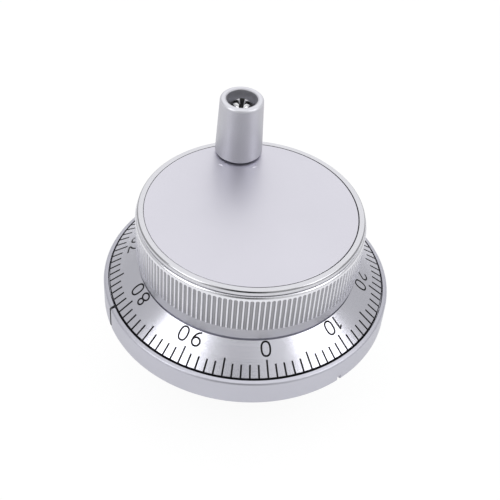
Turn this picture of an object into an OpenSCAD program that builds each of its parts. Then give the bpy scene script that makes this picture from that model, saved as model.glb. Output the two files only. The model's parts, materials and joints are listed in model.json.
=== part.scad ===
// Panel-mounted manual pulse generator: a knurled handwheel with a conical
// dial of 100 divisions and a turning grip, over a magnetic detent and an
// optical encoder.
// Millimetres. +Z points out of the panel and +Y towards the index mark.
// The origin is the centre of the bezel's back face, which seats on the panel.

/* [Bezel] */
// Outer diameter of the bezel
bezel_d = 80; // [78:0.5:90]
// Thickness of the bezel in front of the panel
bezel_h = 8; // [7.5:0.1:10]
// Radial width of the raised band round the dial
band_w = 1.35; // [1:0.05:2]
// Chamfer on the outer edge of the band
band_chamfer = 0.4; // [0.2:0.05:0.7]
// Depth of the web that joins the bezel to its hub
web_h = 3; // [2.4:0.1:4]
// Diameter of the spigot that enters the panel cut-out
spigot_d = 60; // [58:0.5:61]
// Length of the spigot behind the panel face
spigot_h = 3; // [2:0.1:4]
// Wall of the spigot
spigot_wall = 3; // [2:0.1:4]
// Width of the index groove
index_w = 1.2; // [0.8:0.1:2]
// Depth of the index groove
index_depth = 0.6; // [0.3:0.05:0.8]
// Width of the locating notch in the back edge
notch_w = 1; // [0.6:0.1:2]
// Height of the locating notch
notch_h = 1.6; // [0.8:0.1:3]
// Angle from the index mark to the locating notch
notch_angle = 106; // [90:1:115]

/* [Panel fixing] */
// Pitch circle of the fixing holes
fixing_pcd = 72; // [68:0.5:73]
// Number of fixing holes
fixing_count = 3; // [3:1:6]
// Tapping diameter of the fixing holes
fixing_hole_d = 3.3; // [2.5:0.1:4.2]
// Depth of the fixing holes
fixing_depth = 5; // [3:0.1:5.5]

/* [Dial] */
// Clear gap between the band and the dial
dial_gap = 0.35; // [0.2:0.05:0.6]
// Thickness of the dial at its outer edge
dial_edge_h = 1.4; // [1:0.1:2]
// Clear gap under the dial
dial_under_gap = 0.4; // [0.3:0.1:0.8]
// Slope of the dial's face from flat
dial_slope = 35; // [30:0.5:40]
// Diameter where the dial's face meets the knob
dial_top_d = 60.6; // [60:0.1:61.6]
// Wall of the knob's spigot that centres the dial
centring_wall = 1.12; // [0.9:0.02:1.3]
// Divisions round the dial
divisions = 100; // [50:10:200]
// Division that stands at the index mark
reading = 79; // [0:1:99]
// Number of screws that hold the dial to the knob
dial_screw_count = 4; // [3:1:6]
// Depth of the dial screws' seats below the dial's top
dial_seat_h = 3; // [2.4:0.1:3.6]
// Length of the dial screws' thread in the knob
dial_thread_l = 4; // [3:0.1:4.3]

/* [Knob] */
// Diameter over the knurled ribs
knob_d = 62; // [61.6:0.1:63]
// Number of knurled ribs
knurl_count = 144; // [120:2:160]
// Depth of the knurled grooves
knurl_depth = 0.5; // [0.3:0.05:0.6]
// Share of the pitch that a rib takes at its crest
knurl_crest = 0.3; // [0.2:0.05:0.5]
// Share of the pitch that a groove takes at its root
knurl_root = 0.35; // [0.2:0.05:0.45]
// Height of the knurled band
knurl_h = 12.15; // [10:0.05:14]
// Chamfer at the ends of the ribs
knurl_chamfer = 0.45; // [0.1:0.05:0.5]
// Plain land between the chamfer and the grooves' ends
knurl_land = 0.6; // [0.2:0.05:1]
// Diameter of the plain band under the knurl
skirt_d = 60.6; // [60:0.1:60.9]
// Height of the plain band under the knurl
skirt_h = 3.6; // [2.5:0.1:5]
// Height of the shadow gap between the knob and the dial
neck_h = 0.65; // [0.4:0.05:1]
// Diameter of the neck in the shadow gap
neck_d = 59; // [58.8:0.1:59.6]
// Diameter of the plain rim above the knurl
rim_d = 61; // [60.4:0.1:61.2]
// Height of the plain rim
rim_h = 1.65; // [1.5:0.05:3]
// Chamfer on the rim
rim_chamfer = 0.25; // [0.1:0.05:0.5]
// Depth of the turned relief at the rim's foot
relief_depth = 0.25; // [0.15:0.05:0.4]
// Height of the relief
relief_h = 0.3; // [0.2:0.05:0.5]
// Thickness of the knob's web
knob_web_h = 3; // [2.5:0.1:3.4]
// Diameter of the pocket above the web
pocket_d = 52; // [50:0.5:54]
// Depth of the spigot that centres the dial
centring_h = 1.2; // [0.8:0.1:2]

/* [Cover plate] */
// Diameter of the cover plate
plate_d = 57.3; // [56:0.1:57.6]
// Thickness of the cover plate
plate_h = 1.5; // [1.2:0.1:2]
// Radial seam round the cover plate
plate_seam = 0.12; // [0.05:0.01:0.2]

/* [Grip] */
// Distance from the wheel's axis to the grip's axis
grip_offset = 25.4; // [21.5:0.1:25.6]
// Diameter of the grip at its foot
grip_foot_d = 13.4; // [12:0.1:14]
// Diameter of the grip at its top
grip_top_d = 12.1; // [11.4:0.1:13]
// Length of the grip
grip_h = 17.6; // [15:0.1:25]
// Height of the spacer flange under the grip
grip_lift = 0.4; // [0.3:0.1:2.5]
// Play between the spacer flange and the grip's foot
grip_play = 0.1; // [0.05:0.05:0.2]
// Diameter of the counterbore in the grip's top
grip_mouth_d = 8.6; // [8.3:0.1:9]
// Depth of the counterbore
grip_mouth_depth = 5.2; // [4:0.1:7]
// Rounding of the grip's top edge
grip_lip = 0.7; // [0.3:0.05:0.9]
// Chamfer at the grip's foot
grip_foot_chamfer = 0.4; // [0.2:0.05:0.8]
// Outer diameter of the sleeve that the grip turns on
sleeve_d = 5.8; // [5:0.1:6]
// Diameter of the sleeve's flange
sleeve_flange_d = 9.2; // [8:0.1:10.5]
// Wall of the grip's bush
bush_wall = 0.95; // [0.7:0.05:1.05]
// Wall round the grip screw's hole in the knob
boss_wall = 2.6; // [2:0.1:2.7]
// Diameter of the grip screw's thread
grip_screw_d = 4; // [3:0.5:4]
// Diameter of the grip screw's head
grip_screw_head_d = 8; // [7:0.1:8.1]
// Height of the grip screw's head
grip_screw_head_h = 2.4; // [1.8:0.1:3]
// Length of the screw's thread below the cover plate
grip_screw_depth = 9; // [6:0.5:10]

/* [Hub and shaft] */
// Height of the hub above the panel face
hub_h = 19.5; // [19:0.1:19.8]
// Outer diameter of the hub
hub_d = 22; // [21:0.1:23]
// Diameter of the hub below the detent
hub_foot_d = 26; // [25:0.5:30]
// Diameter of the shaft
shaft_d = 8; // [7.8:0.1:8.2]
// Diameter of the shaft's flange
flange_d = 18; // [17:0.5:22]
// Thickness of the shaft's flange
flange_h = 2.2; // [1.8:0.1:2.4]
// Gap between the hub and the shaft's flange
flange_gap = 0.8; // [0.5:0.1:1]
// Diameter of the shaft's rear end
tail_d = 6; // [5:0.1:7]
// How far the shaft reaches behind the panel face
tail_depth = 8.6; // [8.2:0.1:8.8]
// Number of screws through the knob's web into the flange
flange_screw_count = 3; // [3:1:4]
// Pitch circle of those screws
flange_screw_pcd = 12.6; // [12.4:0.1:13]

/* [Bearings] */
// Outer diameter of the ball bearings
bearing_d = 16; // [15.6:0.1:16.4]
// Width of the ball bearings
bearing_w = 5; // [4.5:0.1:5.5]
// Diameter of the balls
ball_d = 2; // [1.8:0.05:2.1]
// Balls in each bearing
ball_count = 10; // [7:1:11]
// Width of the shoulder ring between the bearing and its stop
shoulder_w = 1.1; // [0.8:0.1:1.4]
// Thickness of the bearing and shaft circlips
circlip_h = 0.8; // [0.6:0.1:1]

/* [Detent] */
// Height of the detent's seat above the panel face
detent_z = 8; // [7.4:0.1:8.4]
// Diameter over the teeth of the pole plates
pole_d = 37.2; // [36:0.1:37.4]
// Thickness of a pole plate
pole_h = 1.5; // [1.2:0.1:1.6]
// Thickness of the ring magnet
magnet_h = 4; // [3.4:0.1:4.2]
// How far the ring magnet's rim stands in from the pole plates' teeth
magnet_inset = 2.1; // [1.6:0.1:3.6]
// Air gap between the pole plates and the rotor
air_gap = 0.3; // [0.25:0.01:0.4]
// Depth of the detent teeth
tooth_depth = 0.8; // [0.5:0.05:0.9]
// Wall of the rotor outside its teeth
rotor_wall = 3.3; // [3:0.1:3.5]
// Number of screws that hold the rotor
rotor_screw_count = 3; // [3:1:6]
// Depth of the rotor screws' holes in the knob
rotor_tap_l = 4; // [3.5:0.1:5]

/* [Encoder] */
// Diameter of the code disc
disc_d = 36; // [34:0.5:37]
// Thickness of the code disc
disc_h = 0.3; // [0.2:0.05:0.5]
// Depth of the code disc behind the panel face
disc_depth = 5.7; // [5.4:0.1:5.9]
// Length of the slots in the code disc
slot_l = 2.6; // [1.5:0.1:3]
// Plain rim of the code disc outside its slots
disc_rim = 1.2; // [0.8:0.1:1.6]
// Radial width of the flange that the code disc seats on
disc_flange_w = 5; // [4:0.1:5.6]
// Thickness of that flange and of the clamp ring
disc_flange_h = 1.2; // [1:0.1:1.4]
// Wall of the code disc's hub round the shaft
disc_hub_wall = 2.4; // [2:0.1:3]
// Height of the hub above its flange
disc_hub_h = 2; // [1.8:0.1:2.1]
// Diameter of the hub's set screws
disc_screw_d = 2; // [1.6:0.1:2.1]
// Length of the hub's set screws
disc_screw_l = 2.3; // [2:0.1:2.5]
// Diameter of the circuit board
board_d = 54.4; // [53:0.1:55]
// Thickness of the circuit board
board_h = 1.6; // [1.2:0.1:1.8]
// Depth of the board's front face behind the panel face
board_depth = 9.4; // [9.2:0.1:9.6]
// Width of the light barrier along the disc's rim
barrier_l = 9; // [7:0.1:10]
// How far the light barrier reaches over the disc
barrier_reach = 5; // [4.5:0.1:6]
// Wall of the light barrier behind its slot
barrier_wall = 2; // [1.6:0.1:2.4]
// Thickness of the light barrier's arm in front of the disc
barrier_arm = 2.3; // [1.8:0.1:2.6]
// Width of the light barrier's slot
barrier_slot = 2; // [1.6:0.1:2.2]
// Length of a signal chip
chip_l = 6; // [5:0.1:7]
// Width of a signal chip
chip_w = 5; // [4:0.1:5.6]
// Height of a signal chip
chip_h = 1.5; // [1.2:0.1:2]
// Distance of the signal chips from the board's centre lines
chip_place = [11, 12]; // [9:0.5:13]
// Pitch of the chips' legs
leg_pitch = 1.27; // [0.8:0.01:1.27]
// Diameter of a capacitor
capacitor_d = 4; // [3:0.1:4.4]
// Height of a capacitor
capacitor_h = 2.2; // [1.6:0.1:2.6]
// Distance of the capacitors from the board's centre lines
capacitor_place = [16, 8.5]; // [8:0.5:16]

/* [Rear cover] */
// Depth of the rear cover behind the panel face
cover_depth = 13.5; // [13.3:0.1:15]
// How far the rear cover's side stands in from the spigot
cover_step = 0.5; // [0.4:0.1:0.8]
// Wall of the rear cover
cover_wall = 2; // [1.5:0.1:2.2]
// Thickness of the rear cover's floor
cover_floor = 1.8; // [1.4:0.1:2]
// Pitch circle of the cover screws
cover_screw_pcd = 48; // [47.4:0.1:48.4]
// Diameter of the posts that carry the board
post_d = 6.4; // [6:0.1:6.8]

/* [Terminal block] */
// Number of terminals
terminal_count = 6; // [4:1:6]
// Distance between terminals
terminal_pitch = 6.8; // [6.6:0.1:7]
// Width of the terminal block
block_w = 13; // [12:0.1:14]
// Depth of the terminal block's back behind the panel face
block_depth = 23; // [21.5:0.1:25]
// Thickness of the barriers between the terminals
barrier_w = 1.2; // [1:0.1:1.4]
// Height of the barriers
barrier_h = 5.5; // [5:0.1:6.5]

/* [Fits] */
// Radial clearance of pieces that seat in each other
seat_fit = 0.03; // [0.01:0.01:0.08]
// Radial clearance of pieces that turn on each other
running_fit = 0.05; // [0.02:0.01:0.08]
// Radial clearance round a screw
screw_fit = 0.1; // [0.05:0.01:0.2]

/* [Hidden] */
$fn = 96;

// The index mark's direction, and the wheel's: its zero line stands a number of
// divisions on from the index mark, and the grip is opposite the zero line
index_angle = 90;
zero_angle = index_angle + (divisions - reading) * 360 / divisions;
grip_angle = zero_angle + 180;

// Bezel and dial
bezel_r = bezel_d / 2;
well_r = bezel_r - band_w;
dial_r = well_r - dial_gap;
dial_bottom_z = bezel_h - dial_edge_h;
well_z = dial_bottom_z - dial_under_gap;
dial_top_z = bezel_h + (dial_r - dial_top_d / 2) * tan(dial_slope);
spigot_r = spigot_d / 2;

// Levels of the knob, from the dial upwards
skirt_z = dial_top_z + neck_h;
knurl_z = skirt_z + skirt_h;
rim_z = knurl_z + knurl_h;
knob_top_z = rim_z + rim_h;
plate_z = knob_top_z - plate_h;
flange_z = hub_h + flange_gap;
knob_web_z = flange_z + flange_h;
pocket_z = knob_web_z + knob_web_h;
recess_r = plate_d / 2 + plate_seam;
relief_r = rim_d / 2 - relief_depth;

// How far the knurl's lands lie under its crests, how far a tapped hole runs past
// its screw, and how far a cutter passes through a face
land_step = 0.05;
tap_spare = 0.5;
past = 1;

// Bearings and hub
bearing_r = bearing_d / 2;
ball_r = ball_d / 2;
race_r = (bearing_r + shaft_d / 2) / 2;
race_land = 0.3 * ball_d;
inner_race_r = race_r - race_land;
outer_race_r = race_r + race_land;
rear_bearing_z = 1;
front_bearing_z = hub_h - bearing_w;
hub_tail = 1;
circlip_lip = 0.8;

// Detent
detent_h = 2 * pole_h + magnet_h;
rotor_tip_r = pole_d / 2 + air_gap;
rotor_root_r = rotor_tip_r + tooth_depth;
rotor_r = rotor_root_r + rotor_wall;
rotor_bore_r = rotor_r + seat_fit;
rotor_top_z = detent_z + detent_h;
rotor_screw_r = (rotor_root_r + rotor_r) / 2;
magnet_r = pole_d / 2 - magnet_inset;
clip_groove = 0.5;
clip_play = 0.1;

// Dial's seat on the knob
centring_r = rotor_bore_r + centring_wall;
dial_bore_r = centring_r + running_fit;
dial_screw_r = (dial_bore_r + neck_d / 2) / 2;
inner_well_r = dial_bore_r - 0.2;

// Grip
grip_z = knob_top_z + grip_lift + grip_play;
grip_top_z = grip_z + grip_h;
bush_top_z = grip_top_z - grip_mouth_depth;
sleeve_top_z = bush_top_z + 0.3;
bush_r = sleeve_d / 2 + running_fit + bush_wall;
boss_r = grip_screw_d / 2 + boss_wall;

// Encoder and rear
cover_r = spigot_r - cover_step;
post_angles = [30, 150, 270];
board_back = board_depth + board_h;
hub_bore_r = tail_d / 2 + seat_fit;
track_r = disc_d / 2 - slot_l / 2 - disc_rim;
disc_bore_r = hub_bore_r + 1;
disc_set_z = -disc_depth + disc_h + disc_flange_h + disc_hub_h / 2;
block_l = terminal_count * terminal_pitch + barrier_w;
block_seat = block_depth - barrier_h;
terminal_plate_h = 0.8;
terminal_thread_l = 4.5;
pin_w = 0.8;
pin_tail = 0.6;
barrier_x = disc_d / 2 - barrier_reach;

// Screw sizes: thread, head diameter and head height
m2 = [2, 3.8, 1.2];
m25 = [2.5, 4.2, 1.6];
m3 = [3, 5.2, 1.9];
m3_flat = [3, 5.8, 1.6];

// ---- Shared shapes ----

module ring(outer_r, inner_r, h) {
    difference() {
        cylinder(r = outer_r, h = h);
        translate([0, 0, -1]) cylinder(r = inner_r, h = h + 2);
    }
}

// A copy of the children at each of count places round the axis
module round_axis(count, start = 0) {
    for (i = [0 : count - 1]) rotate(start + i * 360 / count) children();
}

// A toothed outline with a share of each pitch at the tip and at the root
function toothed(count, tip_r, root_r, tip_share, root_share) =
    let (corners = [[-tip_share / 2, tip_r], [tip_share / 2, tip_r],
                    [0.5 - root_share / 2, root_r], [0.5 + root_share / 2, root_r]])
    [for (i = [0 : count - 1], c = corners)
        let (a = (i + c[0]) * 360 / count) [c[1] * cos(a), c[1] * sin(a)]];

// A screw whose thread ends at the origin and whose head is at +Z
module pan_screw(size, thread_l) {
    cylinder(d = size[0], h = thread_l + 0.1);
    translate([0, 0, thread_l]) difference() {
        rotate_extrude() polygon([[0, 0], [size[1] / 2, 0], [size[1] / 2, size[2] * 0.5],
            [size[1] * 0.42, size[2] * 0.82], [size[1] * 0.26, size[2]], [0, size[2]]]);
        cross_recess(size[1] * 0.27, size[2]);
    }
}

// A countersunk screw: its flat face is at the thread's length
module flat_screw(size, thread_l) {
    difference() {
        union() {
            cylinder(d = size[0], h = thread_l - size[2] + 0.1);
            translate([0, 0, thread_l - size[2]])
                cylinder(d1 = size[0], d2 = size[1], h = size[2]);
        }
        translate([0, 0, thread_l - size[2]]) cross_recess(size[1] * 0.27, size[2]);
    }
}

// The cross cut in a head of height h, from its upper face down
module cross_recess(reach, h) {
    for (turn = [0, 90]) rotate(turn)
        translate([-reach, -reach * 0.22, h * 0.35]) cube([2 * reach, reach * 0.44, h]);
}

// An open ring with a gap for the pliers
module circlip(outer_r, inner_r, h) {
    difference() {
        ring(outer_r, inner_r, h);
        translate([0, -1.2, -1]) cube([outer_r + 1, 2.4, h + 2]);
    }
}

// ---- Fixed pieces ----

// Turned bezel and hub in one piece, with its posts for the circuit board
module bezel() {
    seat_r = bearing_r + seat_fit;
    color("silver") difference() {
        union() {
            rotate_extrude($fn = 180) polygon([
                [seat_r, -hub_tail], [hub_d / 2, -hub_tail], [hub_d / 2, 0],
                [spigot_r - spigot_wall, 0], [spigot_r - spigot_wall, -spigot_h],
                [spigot_r, -spigot_h], [spigot_r, 0],
                [bezel_r - band_chamfer, 0], [bezel_r, band_chamfer],
                [bezel_r, bezel_h - 2 * band_chamfer],
                [bezel_r - band_chamfer, bezel_h - band_chamfer],
                [well_r + 0.15, bezel_h - 0.1], [well_r, bezel_h - 0.25],
                [well_r, well_z], [inner_well_r, well_z], [inner_well_r, web_h],
                [hub_foot_d / 2, web_h], [hub_foot_d / 2, detent_z], [hub_d / 2, detent_z],
                [hub_d / 2, hub_h], [seat_r, hub_h], [seat_r, front_bearing_z],
                [bearing_r - shoulder_w, front_bearing_z],
                [bearing_r - shoulder_w, rear_bearing_z + bearing_w],
                [seat_r, rear_bearing_z + bearing_w]]);
            for (a = post_angles) rotate(a) translate([cover_screw_pcd / 2, 0, -board_depth])
                cylinder(d = post_d, h = board_depth + 0.1);
        }
        round_axis(fixing_count, index_angle - 60)
            translate([fixing_pcd / 2, 0, -1]) cylinder(d = fixing_hole_d, h = fixing_depth + 1);
        for (a = post_angles) rotate(a) translate([cover_screw_pcd / 2, 0, -board_depth - 1])
            cylinder(d = m3[0] + 2 * screw_fit, h = board_depth);
        rotate(index_angle) index_groove();
        rotate(index_angle + notch_angle)
            translate([bezel_r - 0.8, -notch_w / 2, -1]) cube([2, notch_w, notch_h + 1]);
        translate([0, 0, rotor_top_z]) ring(hub_d / 2 + 1, hub_d / 2 - clip_groove, circlip_h);
        translate([0, 0, rear_bearing_z - circlip_h])
            cylinder(r = bearing_r + clip_groove, h = circlip_h);
    }
}

// V groove over the band and down the bezel's side, along +X
module index_groove() {
    translate([bezel_r, 0, -1]) linear_extrude(bezel_h + 2)
        polygon([[0.1, -index_w / 2], [0.1, index_w / 2], [-index_depth, 0]]);
    translate([well_r - 1, 0, bezel_h]) rotate([90, 0, 90]) linear_extrude(band_w + 2)
        polygon([[-index_w / 2, 0.1], [index_w / 2, 0.1], [0, -index_depth - band_chamfer]]);
}

module bearing_circlip() {
    color("dimgray") translate([0, 0, rear_bearing_z - circlip_h + 0.02])
        circlip(bearing_r + clip_groove - 0.1, bearing_r - circlip_lip, circlip_h - 0.04);
}

// Outer ring of a ball bearing, with its groove for the balls
module bearing_outer_ring(z) {
    translate([0, 0, z]) difference() {
        ring(bearing_r, outer_race_r, bearing_w);
        ball_groove();
    }
}

// Inner ring of a ball bearing
module bearing_inner_ring(z) {
    translate([0, 0, z]) difference() {
        ring(inner_race_r, shaft_d / 2 + seat_fit, bearing_w);
        ball_groove();
    }
}

// The round groove that both rings share
module ball_groove() {
    translate([0, 0, bearing_w / 2]) rotate_extrude()
        translate([race_r, 0]) circle(r = ball_r + running_fit, $fn = 32);
}

module bearing_balls(z) {
    translate([0, 0, z + bearing_w / 2]) round_axis(ball_count)
        translate([race_r, 0, 0]) sphere(r = ball_r, $fn = 24);
}

// Crown cage: a ring beside the balls, with round pockets
module bearing_cage(z) {
    cage_w = race_land * 1.1;
    translate([0, 0, z + bearing_w / 2]) difference() {
        translate([0, 0, 0.25]) ring(race_r + cage_w / 2, race_r - cage_w / 2, ball_r + 0.45);
        round_axis(ball_count) translate([race_r, 0, 0]) sphere(r = ball_r + running_fit, $fn = 24);
    }
}

module front_bearing_outer_ring() { color("lightsteelblue") bearing_outer_ring(front_bearing_z); }
module rear_bearing_outer_ring() { color("lightsteelblue") bearing_outer_ring(rear_bearing_z); }

module pole_plate(z) {
    translate([0, 0, z]) difference() {
        linear_extrude(pole_h)
            polygon(toothed(divisions, pole_d / 2, pole_d / 2 - tooth_depth, 0.4, 0.4));
        translate([0, 0, -1]) cylinder(r = hub_d / 2 + seat_fit, h = pole_h + 2);
    }
}

module rear_pole_plate() { color("slategray") pole_plate(detent_z); }
module front_pole_plate() { color("slategray") pole_plate(detent_z + pole_h + magnet_h); }

module ring_magnet() {
    color("dimgray") translate([0, 0, detent_z + pole_h])
        ring(magnet_r, hub_d / 2 + clip_play, magnet_h);
}

module detent_circlip() {
    color("dimgray") translate([0, 0, rotor_top_z + 0.02])
        circlip(hub_d / 2 + circlip_lip, hub_d / 2 - clip_groove + 0.1, circlip_h - 0.04);
}

// ---- Encoder ----

// Round board held between the posts and the cover
module encoder_board() {
    color("darkgreen") translate([0, 0, -board_back]) difference() {
        cylinder(d = board_d, h = board_h);
        for (a = post_angles) rotate(a) translate([cover_screw_pcd / 2, 0, -1])
            cylinder(d = m3[0] + 2 * screw_fit, h = board_h + 2);
        for (i = [0 : terminal_count - 1]) translate([terminal_x(i), 0, -1])
            cylinder(d = pin_w * 1.6, h = board_h + 2);
    }
}

// Slotted block that looks through the code disc from both sides
module light_barrier() {
    slot_reach = barrier_reach + 1;
    slot_z = board_depth - disc_depth + (disc_h - barrier_slot) / 2;
    color("black") rotate(index_angle) translate([barrier_x, -barrier_l / 2, -board_depth])
        difference() {
            cube([slot_reach + barrier_wall, barrier_l, slot_z + barrier_slot + barrier_arm]);
            translate([-1, -1, slot_z]) cube([slot_reach + 1, barrier_l + 2, barrier_slot]);
        }
}

// Two flat packages with their rows of legs
module signal_chips() {
    leg_w = 0.4;
    leg_l = leg_w + 0.6;
    stand_off = 0.1;
    for (side = [-1, 1]) translate([side * chip_place[0], -chip_place[1], -board_depth]) {
        color("black") translate([-chip_l / 2, -chip_w / 2, stand_off])
            cube([chip_l, chip_w, chip_h - stand_off]);
        color("silver") for (leg = [-1.5 : 1 : 1.5], row = [-1, 1])
            translate([leg * leg_pitch - leg_w / 2, row * (chip_w / 2 + leg_w) - leg_l / 2, 0])
                cube([leg_w, leg_l, stand_off * 3]);
    }
}

module capacitors() {
    color("goldenrod") for (side = [-1, 1])
        translate([side * capacitor_place[0], capacitor_place[1], -board_depth])
            cylinder(d = capacitor_d, h = capacitor_h);
}

// Square pins that join the board to the terminals
module terminal_pins() {
    color("goldenrod") for (i = [0 : terminal_count - 1])
        translate([terminal_x(i) - pin_w / 2, -pin_w / 2, -board_back])
            cube([pin_w, pin_w, board_h + pin_tail]);
}

// ---- Rear ----

module rear_cover() {
    color("darkslategray") difference() {
        union() {
            translate([0, 0, -cover_depth]) rotate_extrude() polygon([
                [0, 0], [cover_r - 0.6, 0], [cover_r, 0.6], [cover_r, cover_depth - spigot_h],
                [cover_r - cover_wall, cover_depth - spigot_h], [cover_r - cover_wall, cover_floor],
                [0, cover_floor]]);
            for (a = post_angles) rotate(a) translate([cover_screw_pcd / 2, 0, -cover_depth])
                cylinder(d = post_d, h = cover_depth - board_back);
        }
        translate([-block_l / 2 - 0.2, -block_w / 2 - 0.2, -cover_depth - 1])
            cube([block_l + 0.4, block_w + 0.4, cover_floor + 2]);
        for (a = post_angles) rotate(a) translate([cover_screw_pcd / 2, 0, -cover_depth]) {
            translate([0, 0, -1]) cylinder(d = m3_flat[0] + 2 * screw_fit, h = cover_depth);
            cylinder(d1 = m3_flat[1] + 2 * screw_fit, d2 = m3_flat[0] + 2 * screw_fit, h = m3_flat[2]);
        }
    }
}

module cover_screws() {
    screw_l = cover_depth - 2.2;
    color("gainsboro") for (a = post_angles) rotate(a)
        translate([cover_screw_pcd / 2, 0, screw_l - cover_depth]) rotate([180, 0, 0])
            flat_screw(m3_flat, screw_l);
}

// Barrier strip that stands on the board and shows through the cover
module terminal_block() {
    color("black") difference() {
        translate([-block_l / 2, -block_w / 2, -block_depth])
            cube([block_l, block_w, block_depth - board_back]);
        for (i = [0 : terminal_count - 1]) translate([terminal_x(i), 0, 0]) {
            translate([-bay_w() / 2, -block_w / 2 - 1, -block_depth - 1])
                cube([bay_w(), block_w + 2, barrier_h + 1]);
            translate([0, 0, -block_seat - 1])
                cylinder(d = m3[0] + 2 * screw_fit, h = terminal_thread_l + 1.5);
        }
    }
}

module terminal_plates() {
    color("goldenrod") for (i = [0 : terminal_count - 1])
        translate([terminal_x(i), 0, -block_seat - terminal_plate_h]) difference() {
            translate([-bay_w() / 2 + 0.2, -block_w / 2 + 1, 0])
                cube([bay_w() - 0.4, block_w - 2, terminal_plate_h]);
            translate([0, 0, -1]) cylinder(d = m3[0] + 2 * screw_fit, h = terminal_plate_h + 2);
        }
}

module terminal_screws() {
    screw_l = terminal_plate_h + terminal_thread_l;
    color("gainsboro") for (i = [0 : terminal_count - 1])
        translate([terminal_x(i), 0, screw_l - block_seat - terminal_plate_h]) rotate([180, 0, 0])
            pan_screw([m3[0], min(m3[1], bay_w() - 0.4), m3[2]], screw_l);
}

function terminal_x(i) = (i - (terminal_count - 1) / 2) * terminal_pitch;
function bay_w() = terminal_pitch - barrier_w;

// ---- Wheel ----

// Turned knob: rim, straight knurl, skirt and neck outside; detent bore,
// web and cover recess inside
module knob() {
    color("silver") difference() {
        union() {
            rotate_extrude($fn = 180) polygon([
                [0, knob_web_z], [rotor_root_r + 0.1, knob_web_z], [rotor_root_r + 0.1, rotor_top_z],
                [rotor_bore_r, rotor_top_z], [rotor_bore_r, dial_top_z - centring_h],
                [centring_r, dial_top_z - centring_h],
                [centring_r, dial_top_z],
                [neck_d / 2, dial_top_z], [neck_d / 2, skirt_z],
                [skirt_d / 2 - 0.2, skirt_z], [skirt_d / 2, skirt_z + 0.2],
                [skirt_d / 2, knurl_z], [relief_r, knurl_z + knurl_land], [relief_r, rim_z + relief_h],
                [rim_d / 2, rim_z + relief_h], [rim_d / 2, knob_top_z - rim_chamfer],
                [rim_d / 2 - rim_chamfer, knob_top_z], [recess_r, knob_top_z],
                [recess_r, plate_z], [pocket_d / 2, plate_z], [pocket_d / 2, pocket_z],
                [0, pocket_z]]);
            knurl_band();
            rotate(grip_angle) translate([grip_offset, 0, pocket_z - 0.1])
                cylinder(r = boss_r, h = plate_z - pocket_z + 0.1);
        }
        translate([0, 0, knob_web_z - 1])
            cylinder(r = shaft_d / 2 + seat_fit, h = knob_web_h + 2);
        round_axis(flange_screw_count) translate([flange_screw_pcd / 2, 0, knob_web_z - 1])
            cylinder(d = m25[0] + 2 * screw_fit, h = knob_web_h + 2);
        round_axis(rotor_screw_count) translate([rotor_screw_r, 0, rotor_top_z - past])
            cylinder(d = m2[0] + 2 * screw_fit, h = rotor_tap_l + past);
        round_axis(dial_screw_count, 45) translate([dial_screw_r, 0, dial_top_z - past])
            cylinder(d = m25[0] + 2 * screw_fit, h = dial_thread_l + tap_spare + past);
        rotate(grip_angle) translate([grip_offset, 0, knob_top_z - grip_screw_depth - 0.3])
            cylinder(d = grip_screw_d + 2 * screw_fit, h = grip_screw_depth);
    }
}

// The knurled band: a ring of straight ribs between two plain chamfered lands
module knurl_band() {
    tip_r = knob_d / 2;
    land_r = tip_r - land_step;
    land_h = knurl_chamfer + knurl_land;
    core_r = relief_r - 1;
    translate([0, 0, knurl_z]) {
        translate([0, 0, land_h]) linear_extrude(knurl_h - 2 * land_h) difference() {
            polygon(toothed(knurl_count, tip_r, tip_r - knurl_depth, knurl_crest, knurl_root));
            circle(r = core_r, $fn = 180);
        }
        rotate_extrude($fn = 180) polygon([
            [core_r, 0], [land_r - knurl_chamfer, 0], [land_r, knurl_chamfer], [land_r, land_h],
            [core_r, land_h]]);
        rotate_extrude($fn = 180) polygon([
            [core_r, knurl_h - land_h], [land_r, knurl_h - land_h], [land_r, knurl_h - knurl_chamfer],
            [land_r - knurl_chamfer, knurl_h], [core_r, knurl_h]]);
    }
}

// Conical dial ring, screwed to the knob from below
module dial() {
    head_r = m25[1] / 2 + 0.2;
    head_z = dial_top_z - dial_seat_h;
    color("gainsboro") difference() {
        rotate_extrude($fn = 180) polygon([
            [dial_bore_r, dial_bottom_z], [dial_r - 0.2, dial_bottom_z],
            [dial_r, dial_bottom_z + 0.2], [dial_r, bezel_h],
            [dial_top_d / 2, dial_top_z], [dial_bore_r, dial_top_z]]);
        round_axis(dial_screw_count, 45) translate([dial_screw_r, 0, dial_bottom_z - past]) {
            cylinder(r = head_r, h = head_z - dial_bottom_z + past);
            cylinder(d = m25[0] + 2 * screw_fit, h = dial_top_z - dial_bottom_z + 2 * past);
        }
    }
}

module dial_screws() {
    screw_l = dial_seat_h + dial_thread_l;
    color("gainsboro") round_axis(dial_screw_count, 45)
        translate([dial_screw_r, 0, dial_top_z - dial_seat_h + screw_l]) rotate([180, 0, 0])
            pan_screw(m25, screw_l);
}

module cover_plate() {
    color("whitesmoke") difference() {
        translate([0, 0, plate_z]) cylinder(d = plate_d, h = plate_h, $fn = 180);
        rotate(grip_angle) translate([grip_offset, 0, plate_z - past])
            cylinder(d = grip_screw_d + 2 * screw_fit, h = plate_h + 2 * past);
    }
}

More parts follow.
